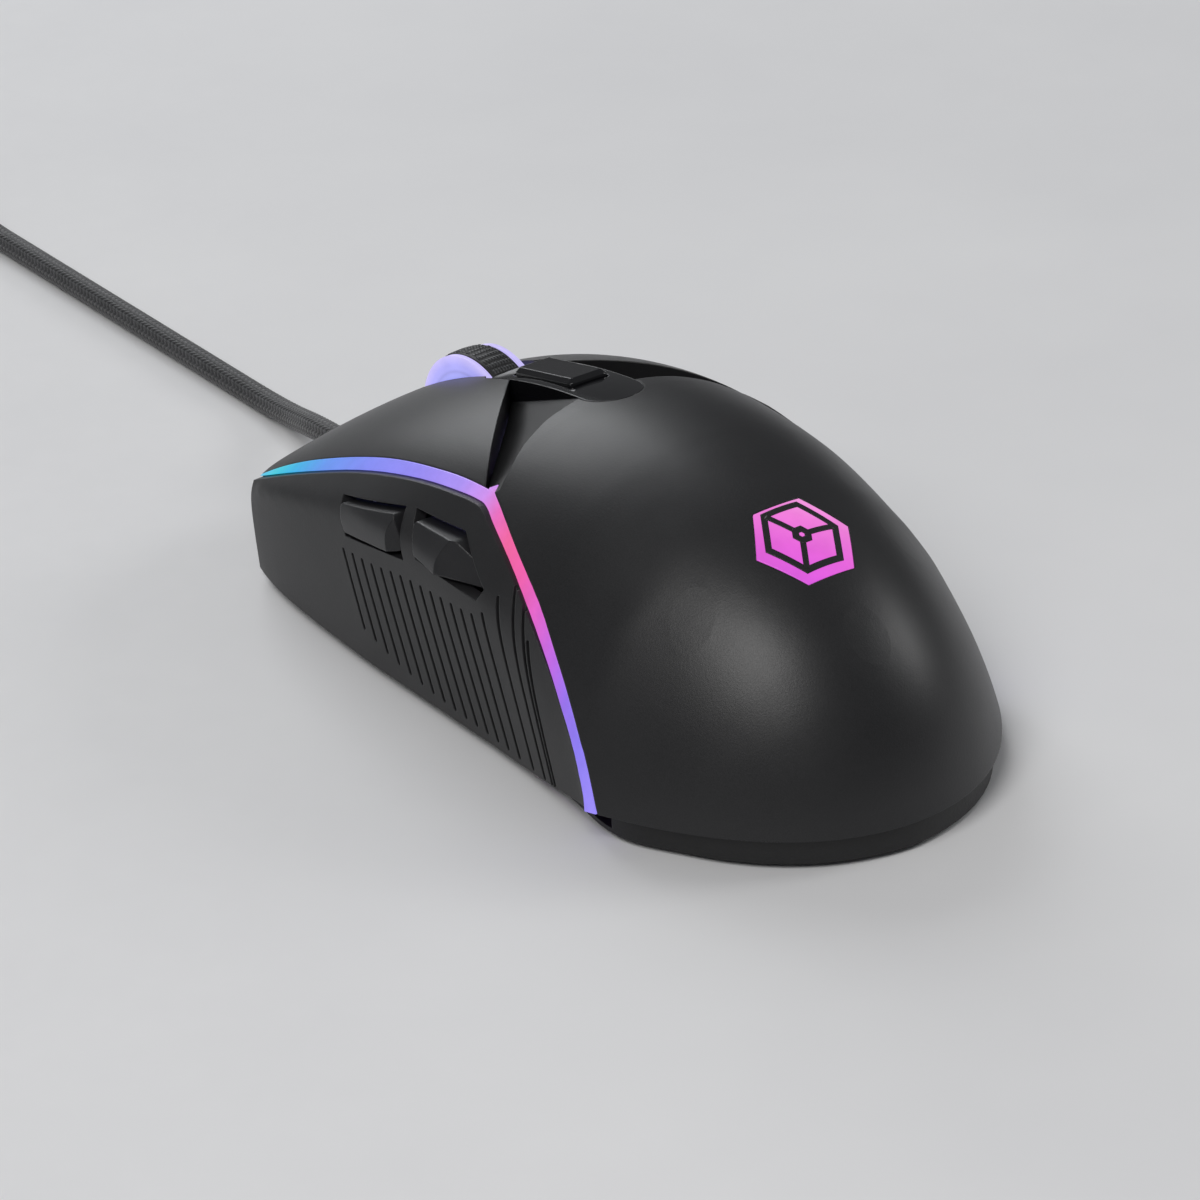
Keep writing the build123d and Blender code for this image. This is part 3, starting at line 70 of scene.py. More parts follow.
# ------------------------------------------------------------------ material builder
class NodeMaterial:
    """A Principled material with short builders. Textures use object coordinates in metres."""

    def __init__(self, name):
        self.material = bpy.data.materials.new(name)
        self.material.use_nodes = True
        self.tree = self.material.node_tree
        self.shader = next(n for n in self.tree.nodes if n.type == "BSDF_PRINCIPLED")
        self.coords = None
        self.normal = None

    def put(self, socket, value):
        """Links a socket, or sets a plain value; three-part colours become opaque."""
        if isinstance(value, bpy.types.NodeSocket):
            self.tree.links.new(value, socket)
        else:
            if isinstance(value, tuple) and len(value) == 3:
                value = (*value, 1.0)
            socket.default_value = value

    def node(self, kind, *values, **named):
        """Adds a node; values fill its first inputs in order, the others go by name."""
        node = self.tree.nodes.new(kind)
        for i, value in enumerate(values):
            self.put(node.inputs[i], value)
        for key, value in named.items():
            self.put(node.inputs[key.replace("_", " ")], value)
        return node

    def set(self, **inputs):
        for key, value in inputs.items():
            self.put(self.shader.inputs[key.replace("_", " ")], value)

    def object_coords(self):
        if self.coords is None:
            self.coords = self.node("ShaderNodeTexCoord").outputs["Object"]
        return self.coords

    def xyz(self, vector=None):
        return self.node("ShaderNodeSeparateXYZ", vector or self.object_coords()).outputs

    def combine(self, x, y, z):
        return self.node("ShaderNodeCombineXYZ", x, y, z).outputs[0]

    def stretched(self, axis, factor):
        """Object coordinates with one axis scaled, which draws a texture out along it."""
        return self.combine(*[self.multiply(self.xyz()[i], factor) if i == axis
                              else self.xyz()[i] for i in range(3)])

    def math(self, operation, a, b=0.0, clamp=False):
        node = self.node("ShaderNodeMath", a, b, 0.0)
        node.operation = operation
        node.use_clamp = clamp
        return node.outputs[0]

    def add(self, a, b):
        return self.math("ADD", a, b)

    def subtract(self, a, b, clamp=False):
        return self.math("SUBTRACT", a, b, clamp)

    def multiply(self, a, b):
        return self.math("MULTIPLY", a, b)

    def absolute(self, a):
        return self.math("ABSOLUTE", a)

    def noise(self, scale, detail=3.0, roughness=0.6, at=None):
        return self.node("ShaderNodeTexNoise", Scale=scale, Detail=detail, Roughness=roughness,
                         Vector=at or self.object_coords()).outputs["Fac"]

    def soft_noise(self, scale, at=None):
        return self.noise(scale, detail=2.0, roughness=0.5, at=at)

    def voronoi(self, scale, output="Distance"):
        return self.node("ShaderNodeTexVoronoi", Scale=scale,
                         Vector=self.object_coords()).outputs[output]

    def ramp(self, factor, stops):
        node = self.node("ShaderNodeValToRGB", factor)
        elements = node.color_ramp.elements
        while len(elements) > 1:
            elements.remove(elements[-1])
        for i, (position, color) in enumerate(stops):
            element = elements[0] if i == 0 else elements.new(position)
            element.position = position
            element.color = (*color, 1.0)
        return node.outputs["Color"]

    def remap(self, value, span, to=(0.0, 1.0)):
        return self.node("ShaderNodeMapRange", value, *span, *to).outputs[0]

    def vary(self, noise, to=(0.0, 1.0)):
        """Spreads the middle of a noise, where most of it lies, over the range given."""
        return self.remap(noise, span=(0.3, 0.7), to=to)

    def mix(self, factor, a, b):
        node = self.node("ShaderNodeMix")
        node.data_type = "RGBA"
        for i, value in ((0, factor), (6, a), (7, b)):
            self.put(node.inputs[i], value)
        return node.outputs[2]

    def bevel_node(self, radius, samples):
        node = self.node("ShaderNodeBevel", Radius=radius)
        node.samples = samples
        return node.outputs[0]

    def bevel(self, radius):
        """Softens the shading of edges. Comes before bump, which builds on it."""
        self.normal = self.bevel_node(radius, samples=6)
        self.set(Normal=self.normal)

    def bump(self, height, depth, strength):
        node = self.node("ShaderNodeBump", Strength=strength, Distance=depth, Height=height)
        if self.normal is not None:
            self.put(node.inputs["Normal"], self.normal)
        self.normal = node.outputs[0]
        self.set(Normal=self.normal)

    def edge(self, radius, span):
        """0 on flats, towards 1 along convex and concave edges."""
        rounded = self.bevel_node(radius, samples=4)
        flat = self.node("ShaderNodeNewGeometry").outputs["True Normal"]
        dot = self.node("ShaderNodeVectorMath", rounded, flat)
        dot.operation = "DOT_PRODUCT"
        return self.remap(self.subtract(1.0, dot.outputs["Value"]), span)


def shade(color, factor, lift=0.0):
    return tuple(v * factor + lift for v in color)


# ------------------------------------------------------------------ finishes
def moulded(name, color, roughness, grain, depth, bevel=0.00022, specular=0.5):
    """Moulded plastic: fine grain, faint blotches, softened and slightly glossier edges."""
    mat = NodeMaterial(name)
    fine = mat.noise(scale=1.0 / grain, detail=2.0, roughness=0.55)
    pits = mat.voronoi(scale=1.0 / (grain * 2.2))
    broad = mat.noise(scale=45.0)
    blotched = mat.mix(mat.vary(broad), shade(color, 0.88), shade(color, 1.12))
    light_grain = mat.remap(fine, span=(0.35, 0.75))
    mat.set(Base_Color=mat.mix(light_grain, blotched, shade(color, 1.35, lift=0.001)))
    uneven = mat.add(mat.vary(broad, to=(roughness - 0.025, roughness + 0.025)),
                     mat.vary(fine, to=(-0.03, 0.03)))
    wear = mat.multiply(mat.edge(bevel * 2.2, span=(0.02, 0.3)), 0.10)
    mat.set(Roughness=mat.subtract(uneven, wear, clamp=True), Specular_IOR_Level=specular)
    mat.bevel(bevel)
    height = mat.add(mat.multiply(fine, 0.65), mat.multiply(pits, 0.35))
    mat.bump(height, depth=depth, strength=1.0)
    return mat


def gloss():
    """Polished black plastic with hairlines drawn out along Y."""
    mat = NodeMaterial("finish_gloss")
    color = (0.006, 0.006, 0.007)
    broad = mat.noise(scale=60.0)
    hair = mat.soft_noise(scale=900.0, at=mat.stretched(axis=1, factor=0.06))
    mat.set(Base_Color=mat.mix(mat.vary(broad), shade(color, 0.9), shade(color, 1.15)),
            Roughness=mat.add(mat.vary(broad, to=(0.056, 0.104)),
                              mat.remap(hair, span=(0.55, 0.8), to=(0.0, 0.06))),
            Specular_IOR_Level=0.55, Coat_Weight=0.3, Coat_Roughness=0.03)
    mat.bevel(0.0002)
    mat.bump(mat.soft_noise(scale=380.0), depth=0.000006, strength=0.6)
    return mat


def glowing(mat, color, strength, body, roughness, grain_scale,
            bevel=0.0002, depth=0.000006, specular=0.5):
    """Lit plastic: a body mostly of its own dull colour, with coloured emission."""
    mat.set(Base_Color=mat.mix(0.88, color, body), Roughness=roughness, Emission_Color=color,
            Emission_Strength=strength, Specular_IOR_Level=specular)
    mat.bevel(bevel)
    mat.bump(mat.soft_noise(scale=grain_scale), depth=depth, strength=0.8)
    return mat


# Colours along the side light strips: y in mm, (red, green, blue).
STRIP_COLORS = [
    (-36.0, (0.34, 0.27, 0.97)), (-31.0, (0.27, 0.20, 0.92)), (-27.0, (0.33, 0.17, 0.88)),
    (-23.0, (0.54, 0.14, 0.80)), (-18.0, (0.78, 0.13, 0.62)), (-13.0, (0.92, 0.12, 0.44)),
    (-8.0, (0.92, 0.13, 0.36)), (-3.5, (0.86, 0.16, 0.55)), (0.5, (0.66, 0.30, 0.92)),
    (6.0, (0.44, 0.30, 0.97)), (16.0, (0.32, 0.27, 0.98)), (28.0, (0.24, 0.28, 0.98)),
    (39.0, (0.14, 0.33, 0.95)), (46.5, (0.03, 0.50, 0.90)), (52.0, (0.01, 0.66, 0.80)),
    (58.0, (0.05, 0.55, 0.92)), (62.0, (0.16, 0.42, 0.95))]
STRIP_SPAN = (-0.037, 0.063)    # y range the colour ramp covers


def light_strip():
    mat = NodeMaterial("finish_light_strip")
    low, high = STRIP_SPAN
    stops = [((y * MM - low) / (high - low), color) for y, color in STRIP_COLORS]
    color = mat.ramp(mat.remap(mat.xyz()[1], STRIP_SPAN), stops)
    milky = mat.vary(mat.noise(scale=420.0), to=(0.93, 1.05))
    facing = mat.node("ShaderNodeLayerWeight", Blend=0.35).outputs["Facing"]
    core = mat.remap(facing, span=(0.0, 1.0), to=(1.0, 0.72))
    strength = mat.multiply(mat.multiply(milky, core), 0.92)
    return glowing(mat, color, strength, body=(0.02, 0.02, 0.025), roughness=0.30,
                   grain_scale=2600.0, specular=0.35)


def wheel_glow():
    """Colour and brightness go by distance from the wheel's axis."""
    centre_y, centre_z = 0.0326, 0.0236
    line_radius = 0.0098    # a slightly darker line runs round here
    mat = NodeMaterial("finish_wheel_glow")
    _, y, z = mat.xyz()
    squares = [mat.math("POWER", mat.subtract(axis, centre), 2.0)
               for axis, centre in ((y, centre_y), (z, centre_z))]
    radius = mat.math("SQRT", mat.add(*squares))
    color = mat.ramp(mat.remap(radius, span=(0.002, 0.0122)), [
        (0.0, (0.42, 0.36, 0.98)), (0.55, (0.36, 0.40, 1.0)),
        (0.86, (0.44, 0.42, 1.0)), (1.0, (0.62, 0.55, 1.0))])
    cloudy = mat.vary(mat.noise(scale=160.0, roughness=0.55), to=(0.9, 1.08))
    line = mat.remap(mat.absolute(mat.subtract(radius, line_radius)),
                     span=(0.0, 0.0004), to=(0.82, 1.0))
    strength = mat.multiply(mat.multiply(cloudy, line), 0.85)
    return glowing(mat, color, strength, body=(0.03, 0.03, 0.035), roughness=0.28,
                   grain_scale=1800.0, bevel=0.00025)


def badge_glow():
    """Colour runs diagonally over the badge."""
    mat = NodeMaterial("finish_badge_glow")
    x, y, _ = mat.xyz()
    diagonal = mat.add(mat.multiply(x, 0.8), y)
    color = mat.ramp(mat.remap(diagonal, span=(-0.0494, -0.0300)), [
        (0.0, (0.80, 0.10, 0.86)), (0.4, (0.88, 0.13, 0.78)),
        (0.75, (0.97, 0.22, 0.78)), (1.0, (1.0, 0.36, 0.82))])
    cloudy = mat.vary(mat.noise(scale=240.0, roughness=0.55), to=(0.92, 1.06))
    return glowing(mat, color, mat.multiply(cloudy, 0.80), body=(0.02, 0.02, 0.02),
                   roughness=0.30, grain_scale=2400.0, depth=0.000005)


def brushed_metal(name, color, roughness):
    """Metal brushed along Y."""
    mat = NodeMaterial(name)
    scaled = [mat.multiply(axis, factor) for axis, factor in zip(mat.xyz(), (1.0, 0.05, 1.0))]
    hair = mat.noise(scale=5200.0, at=mat.combine(*scaled))
    broad = mat.noise(scale=300.0)
    mat.set(Base_Color=mat.mix(mat.vary(broad), shade(color, 0.8), color), Metallic=1.0,
            Roughness=mat.vary(hair, to=(roughness * 0.75, roughness * 1.3)))
    mat.bevel(0.00012)
    mat.bump(hair, depth=0.000006, strength=0.7)
    return mat


def circuit_board():
    """Green board with wavering traces along X and Y, and metal dots."""
    mat = NodeMaterial("finish_pcb")
    x, y, _ = mat.xyz()
    tracks = []
    for axis, warp_scale in ((x, 150.0), (y, 110.0)):
        warp = mat.noise(scale=warp_scale, detail=1.0, roughness=0.5)
        lanes = mat.add(mat.multiply(axis, 900.0), mat.multiply(warp, 6.0))
        wave = mat.absolute(mat.math("SINE", mat.multiply(lanes, 3.1416)))
        tracks.append(mat.remap(wave, span=(0.84, 0.93)))
    patch = mat.remap(mat.voronoi(scale=120.0, output="Color"), span=(0.45, 0.5))
    trace = mat.mix(patch, mat.mix(1.0, (0, 0, 0), tracks[0]), tracks[1])
    dots = mat.remap(mat.voronoi(scale=360.0), span=(0.10, 0.14), to=(1.0, 0.0))
    green = mat.mix(trace, (0.012, 0.085, 0.035), (0.03, 0.15, 0.06))
    mat.set(Base_Color=mat.mix(dots, green, (0.62, 0.60, 0.52)), Roughness=0.32, Coat_Weight=0.4)
    mat.bevel(0.0001)
    mat.bump(trace, depth=0.00003, strength=0.8)
    return mat


def rubber():
    mat = NodeMaterial("finish_rubber")
    color = (0.012, 0.012, 0.013)
    fine = mat.noise(scale=5000.0)
    broad = mat.noise(scale=70.0)
    mat.set(Base_Color=mat.mix(mat.vary(broad), shade(color, 0.85), shade(color, 1.25)),
            Roughness=mat.vary(broad, to=(0.50, 0.61)), Specular_IOR_Level=0.42,
            Sheen_Weight=0.06)
    mat.bevel(0.0003)
    mat.bump(fine, depth=0.000022, strength=0.9)
    return mat


def glide():
    """Dark slippery feet, streaked along X."""
    mat = NodeMaterial("finish_glide")
    fine = mat.noise(scale=1400.0)
    streaks = mat.noise(scale=700.0, detail=4.0, at=mat.stretched(axis=0, factor=0.08))
    mat.set(Base_Color=mat.mix(mat.remap(streaks, span=(0.45, 0.75)),
                               (0.035, 0.035, 0.038), (0.075, 0.075, 0.08)),
            Roughness=mat.vary(fine, to=(0.3, 0.42)), Specular_IOR_Level=0.35)
    mat.bevel(0.0002)
    mat.bump(streaks, depth=0.000008, strength=0.8)
    return mat


def clear():
    mat = NodeMaterial("finish_clear")
    haze = mat.soft_noise(scale=500.0)
    mat.set(Base_Color=(0.86, 0.90, 0.95), Roughness=mat.vary(haze, to=(0.03, 0.10)),
            Transmission_Weight=0.92, IOR=1.49)
    mat.bump(haze, depth=0.000005, strength=0.6)
    return mat


def chip(name, color):
    mat = NodeMaterial(name)
    fine = mat.noise(scale=6000.0)
    dots = mat.voronoi(scale=900.0)
    mat.set(Base_Color=mat.mix(mat.remap(dots, span=(0.0, 0.5)), shade(color, 1.3), color),
            Roughness=mat.vary(fine, to=(0.42, 0.6)))
    mat.bevel(0.0001)
    mat.bump(fine, depth=0.00001, strength=0.8)
    return mat


def led():
    mat = NodeMaterial("finish_led")
    dots = mat.remap(mat.voronoi(scale=700.0), span=(0.1, 0.3))
    color = mat.mix(dots, (1.0, 0.86, 0.5), (0.8, 0.8, 0.78))
    mat.set(Base_Color=color, Roughness=mat.vary(mat.soft_noise(scale=900.0), to=(0.2, 0.35)),
            Emission_Color=color, Emission_Strength=0.4)
    mat.bevel(0.0001)
    return mat


def plunger():
    mat = NodeMaterial("finish_plunger")
    fine = mat.noise(scale=1500.0, roughness=0.5)
    mat.set(Base_Color=mat.mix(mat.vary(fine), (0.66, 0.67, 0.70), (0.80, 0.81, 0.84)),
            Roughness=0.3)
    mat.bevel(0.0001)
    mat.bump(fine, depth=0.000006, strength=0.8)
    return mat


def wires():
    """Red, white, green and black, graded across X."""
    mat = NodeMaterial("finish_wires")
    x = mat.xyz()[0]
    bands = mat.math("SINE", mat.multiply(x, 2600.0))
    fine = mat.soft_noise(scale=2500.0)
    across = mat.add(x, mat.multiply(fine, 0.0002))
    color = mat.ramp(mat.remap(across, span=(0.0, 0.0135)), [
        (0.0, (0.55, 0.03, 0.03)), (0.25, (0.6, 0.6, 0.58)),
        (0.5, (0.03, 0.30, 0.08)), (0.75, (0.02, 0.02, 0.02))])
    mat.set(Base_Color=color, Roughness=0.4)
    mat.bump(mat.add(fine, mat.multiply(bands, 0.02)), depth=0.00001, strength=0.6)
    return mat


# Moulded plastics: name, colour, roughness, grain size, grain depth[, bevel radius[, specular]].
MOULDED = [
    ("shell", (0.0125, 0.0125, 0.0135), 0.40, 0.00017, 0.000014, 0.00028),
    ("panel", (0.0125, 0.0125, 0.0135), 0.46, 0.00019, 0.000018),
    ("base", (0.009, 0.009, 0.0095), 0.5, 0.00026, 0.00003, 0.00022, 0.45),
    ("thumb", (0.016, 0.016, 0.0175), 0.36, 0.00014, 0.00001, 0.0003),
    ("inner", (0.02, 0.02, 0.022), 0.34, 0.0003, 0.00001),
    ("nylon", (0.72, 0.70, 0.63), 0.45, 0.0003, 0.00001),
    ("disc", (0.02, 0.02, 0.023), 0.3, 0.0002, 0.000008),
    ("insulator", (0.014, 0.014, 0.015), 0.4, 0.0002, 0.00001)]
# Metals: name, colour, roughness.
METALS = [
    ("steel", (0.52, 0.53, 0.55), 0.3),
    ("usb", (0.66, 0.66, 0.68), 0.22),
    ("gold", (0.90, 0.66, 0.27), 0.2)]

FINISHES = {name: moulded("finish_" + name, *row) for name, *row in MOULDED}
FINISHES.update({name: brushed_metal("finish_" + name, *row) for name, *row in METALS})
FINISHES.update({
    "gloss": gloss(), "strip": light_strip(), "wheel": wheel_glow(), "badge": badge_glow(),
    "pcb": circuit_board(), "rubber": rubber(), "glide": glide(), "clear": clear(),
    "chip": chip("finish_chip", color=(0.022, 0.022, 0.024)),
    "led": led(), "plunger": plunger(), "wires": wires(),
    "switch": chip("finish_switch", color=(0.03, 0.03, 0.034))})

# Which pieces wear each finish. Switch bodies and plungers go by the pattern of their names.
PIECES = {
    "shell": "palm_shell left_button right_button",
    "panel": "left_side_panel right_side_panel",
    "thumb": "side_button_front side_button_rear",
    "strip": "left_light_guide right_light_guide",
    "badge": "badge_lens",
    "gloss": "spine_cover dpi_button nose_bridge",
    "base": "base_shell",
    "glide": "front_foot rear_foot sensor_foot_ring",
    "steel": "case_screws pcb_screws wheel_axle",
    "pcb": "main_pcb dpi_board side_button_board",
    "chip": "optical_sensor controller_chip encoder_sensor",
    "clear": "sensor_lens badge_light_pipe",
    "led": "rgb_leds",
    "wheel": "wheel_hub",
    "rubber": "wheel_tyre cable strain_relief usb_overmold",
    "disc": "encoder_disc",
    "inner": "wheel_cradle cradle_holder",
    "nylon": "cable_connector",
    "wires": "cable_wires",
    "usb": "usb_shell",
    "insulator": "usb_tongue",
    "gold": "usb_contacts"}
FINISH_OF = {piece: finish for finish, pieces in PIECES.items() for piece in pieces.split()}


def finish_of(piece):
    if piece.endswith("_plunger"):
        return "plunger"
    if piece.endswith("_body") and "switch" in piece:
        return "switch"
    return FINISH_OF[piece]


for piece, obj in nodes.items():
    obj.data.materials.clear()
    obj.data.materials.append(FINISHES[finish_of(piece)].material)


# ------------------------------------------------------------------ mesh helpers
def surface_of(piece):
    mesh = nodes[piece].data
    return BVHTree.FromPolygons([v.co.copy() for v in mesh.vertices],
                                [tuple(p.vertices) for p in mesh.polygons])


def make(name, verts, faces, mat, sharp_angle=None):
    """A smooth-shaded object; edges sharper than sharp_angle degrees stay crisp."""
    mesh = bpy.data.meshes.new(name)
    mesh.from_pydata([tuple(v) for v in verts], [], faces)
    mesh.validate()
    mesh.update()
    mesh.polygons.foreach_set("use_smooth", [True] * len(mesh.polygons))
    if sharp_angle is not None:
        mesh.set_sharp_from_angle(angle=math.radians(sharp_angle))
    mesh.materials.append(mat.material)
    obj = bpy.data.objects.new(name, mesh)
    scene.collection.objects.link(obj)
    return obj


def grid_faces(rows, cols, wrap_rows=False, wrap_cols=False, flip=False):
    """Quads over a grid of vertices stored row by row."""
    faces = []
    for i in range(rows if wrap_rows else rows - 1):
        for j in range(cols if wrap_cols else cols - 1):
            row, next_row = i * cols, ((i + 1) % rows) * cols
            next_j = (j + 1) % cols
            quad = (row + j, next_row + j, next_row + next_j, row + next_j)
            faces.append((quad[0], *quad[:0:-1]) if flip else quad)
    return faces


# ------------------------------------------------------------------ braided cable
BRAID_WALES = 8             # columns of stitches round the cable
BRAID_STITCH = 0.00105      # stitch length along the cable
BRAID_SLANT = 0.95          # stitches a strand leans from a wale's middle to its edge
BRAID_RADIUS = 0.00172      # bottom of the grooves
BRAID_RELIEF = 0.00017
BRAID_AROUND = 96           # vertices round the cable
BRAID_STEP = 0.000105       # ring spacing


def braid_material():
    mat = NodeMaterial("finish_braid")
    # u counts wales round the cable, v counts stitches along it
    u, v, _ = mat.xyz(mat.node("ShaderNodeUVMap").outputs[0])
    across = mat.absolute(mat.subtract(mat.multiply(mat.math("FRACT", u), 2.0), 1.0))
    phase = mat.add(v, mat.multiply(across, -BRAID_SLANT))
    strand = mat.math("FRACT", phase)
    fibre_coords = mat.combine(mat.multiply(phase, 6.0), mat.multiply(across, 0.8), 0.0)
    fibres = mat.noise(scale=26.0, detail=2.0, at=fibre_coords)
    stitch_cell = mat.combine(mat.math("FLOOR", u), mat.math("FLOOR", phase), 0.0)
    random = mat.node("ShaderNodeTexWhiteNoise", Vector=stitch_cell)
    random.noise_dimensions = "2D"
    tone = mat.remap(random.outputs["Value"], span=(0.0, 1.0), to=(0.75, 1.25))
    # painted shade: the colour falls to a quarter towards each strand's edges, where the grooves
    # between stitches lie
    groove_painted_shade = mat.remap(mat.absolute(mat.subtract(strand, 0.5)), span=(0.30, 0.5), to=(1.0, 0.25))
    color = mat.mix(mat.remap(fibres, span=(0.35, 0.7)),
                    (0.016, 0.016, 0.017), (0.050, 0.050, 0.054))
    scaled = mat.node("ShaderNodeVectorMath", color)
    scaled.operation = "SCALE"
    mat.put(scaled.inputs["Scale"], mat.multiply(tone, groove_painted_shade))
    mat.set(Base_Color=scaled.outputs[0], Roughness=mat.vary(fibres, to=(0.38, 0.6)),
            Sheen_Weight=0.35, Sheen_Roughness=0.4, Specular_IOR_Level=0.5)
    mat.bump(fibres, depth=0.00003, strength=0.9)
    return mat


def centre_on(surface, point, axis, reach=0.05):
    """Moves point to the middle of the surface along an axis, if rays from both sides hit."""
    hits = []
    for side in (1, -1):
        start, aim = Vector(point), Vector((0, 0, 0))
        start[axis], aim[axis] = side * reach, -side
        hits.append(surface.ray_cast(start, aim)[0])
    if all(hits):
        point[axis] = (hits[0][axis] + hits[1][axis]) / 2


def cable_centres():
    """Points along the middle of the CAD cable, lightly smoothed."""
    surface = surface_of("cable")
    low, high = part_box("cable")
    point = [0.0, 0.0, 0.0076]
    found = []
    for point[1] in np.linspace(low.y + 0.0002, high.y - 0.0002, 260):
        for _ in range(3):
            centre_on(surface, point, axis=2)
            centre_on(surface, point, axis=0)
        found.append(tuple(point))
    line = np.array(found)
    for _ in range(3):
        line[1:-1] = (line[:-2] + 2 * line[1:-1] + line[2:]) / 4
    line[0, 1], line[-1, 1] = low.y, high.y
    return line


def resample(line, step, window=60):
    """Evenly spaced, smoothed points on a line, and their distances along it."""
    measured = np.r_[0, np.cumsum(np.linalg.norm(np.diff(line, axis=0), axis=1))]
    along = np.linspace(0, measured[-1], int(measured[-1] / step))
    weights = np.hanning(window + 1) / np.hanning(window + 1).sum()
    columns = []
    for k in range(3):
        padded = np.pad(np.interp(along, measured, line[:, k]), (window // 2, window // 2),
                        mode="reflect", reflect_type="odd")
        columns.append(np.convolve(padded, weights, "valid"))
    return np.stack(columns, 1), along


def braided_cable():
    centres, along = resample(cable_centres(), BRAID_STEP)
    rings, around = len(along), BRAID_AROUND
    tangent = np.gradient(centres, axis=0)
    tangent /= np.linalg.norm(tangent, axis=1)[:, None]
    side = np.cross(tangent, np.array([0, 0, 1.0]))
    side /= np.linalg.norm(side, axis=1)[:, None]
    upward = np.cross(side, tangent)

    # relief: rounded strands in V shapes, one column of them per wale
    angle = np.linspace(0, 2 * np.pi, around, endpoint=False)
    wale = angle / (2 * np.pi) * BRAID_WALES
    across = np.abs((wale % 1.0) * 2 - 1)
    phase = along[:, None] / BRAID_STITCH - BRAID_SLANT * across[None, :]
    strand = np.abs(np.sin(np.pi * phase)) ** 0.6
    crown = np.sqrt(np.clip(1 - (2 * np.abs(across - 0.5)) ** 2.4, 0, 1))
    radius = BRAID_RADIUS + BRAID_RELIEF * strand * (0.35 + 0.65 * crown[None, :])
    outward = (np.cos(angle)[None, :, None] * side[:, None, :]
               + np.sin(angle)[None, :, None] * upward[:, None, :])
    verts = (centres[:, None, :] + outward * radius[:, :, None]).reshape(-1, 3)

    faces = grid_faces(rings, around, wrap_cols=True, flip=True)
    start, end = len(verts), len(verts) + 1     # middle vertices of the end caps
    last = (rings - 1) * around
    verts = np.vstack([verts, centres[0], centres[-1]])
    faces += [(start, j, (j + 1) % around) for j in range(around)]
    faces += [(end, last + (j + 1) % around, last + j) for j in range(around)]
    obj = make("braided_cable", verts, faces, braid_material())

    mesh = obj.data
    uv_layer = mesh.uv_layers.new(name="UVMap")
    corner_vert = np.zeros(len(mesh.loops), np.int32)
    mesh.loops.foreach_get("vertex_index", corner_vert)
    u = np.r_[np.tile(wale, rings), 0, 0][corner_vert]
    v = np.r_[np.repeat(along / BRAID_STITCH, around), 0, along[-1] / BRAID_STITCH][corner_vert]
    # faces that cross the seam take u = BRAID_WALES where it has wrapped to 0
    for face in mesh.polygons:
        face_u = u[face.loop_start:face.loop_start + face.loop_total]
        if face_u.max() - face_u.min() > BRAID_WALES / 2:
            face_u[face_u < BRAID_WALES / 2] += BRAID_WALES
    uv_layer.data.foreach_set("uv", np.stack([u, v], 1).astype(np.float32).ravel())
    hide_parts("cable")
    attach(obj, "housing")


braided_cable()


# ------------------------------------------------------------------ wheel tyre with pips
PIP_ROWS = 60               # rows of pips round the tyre
PIP_ROW_STEPS = 14          # vertices round the tyre per row
PIPS_ACROSS = 9
PIP_HEIGHT = 0.00014
PIP_SIZE = 0.62             # pip radius as a share of half its cell
TYRE_CROWN = 0.00018        # fall of the tread from middle to edge
TYRE_EDGE = 0.0005          # width of the rounded edge
TYRE_EDGE_DROP = 0.00045
TYRE_THICKNESS = 0.0026


def tyre_material():
    mat = NodeMaterial("finish_tyre")
    attribute = mat.node("ShaderNodeAttribute")
    attribute.attribute_name = "pip"
    pip = attribute.outputs["Fac"]
    fine = mat.noise(scale=5200.0)
    # painted highlight and shade: the pip tops are coloured lighter and the rubber between the
    # pips darker
    mat.set(Base_Color=mat.mix(mat.remap(pip, span=(0.2, 0.9)),
                               (0.007, 0.007, 0.008), (0.045, 0.046, 0.05)),
            Roughness=mat.add(mat.vary(fine, to=(0.42, 0.58)),
                              mat.remap(pip, span=(0.3, 1.0), to=(0.04, -0.12))),
            Specular_IOR_Level=0.5)
    mat.bump(fine, depth=0.00001, strength=0.8)
    return mat


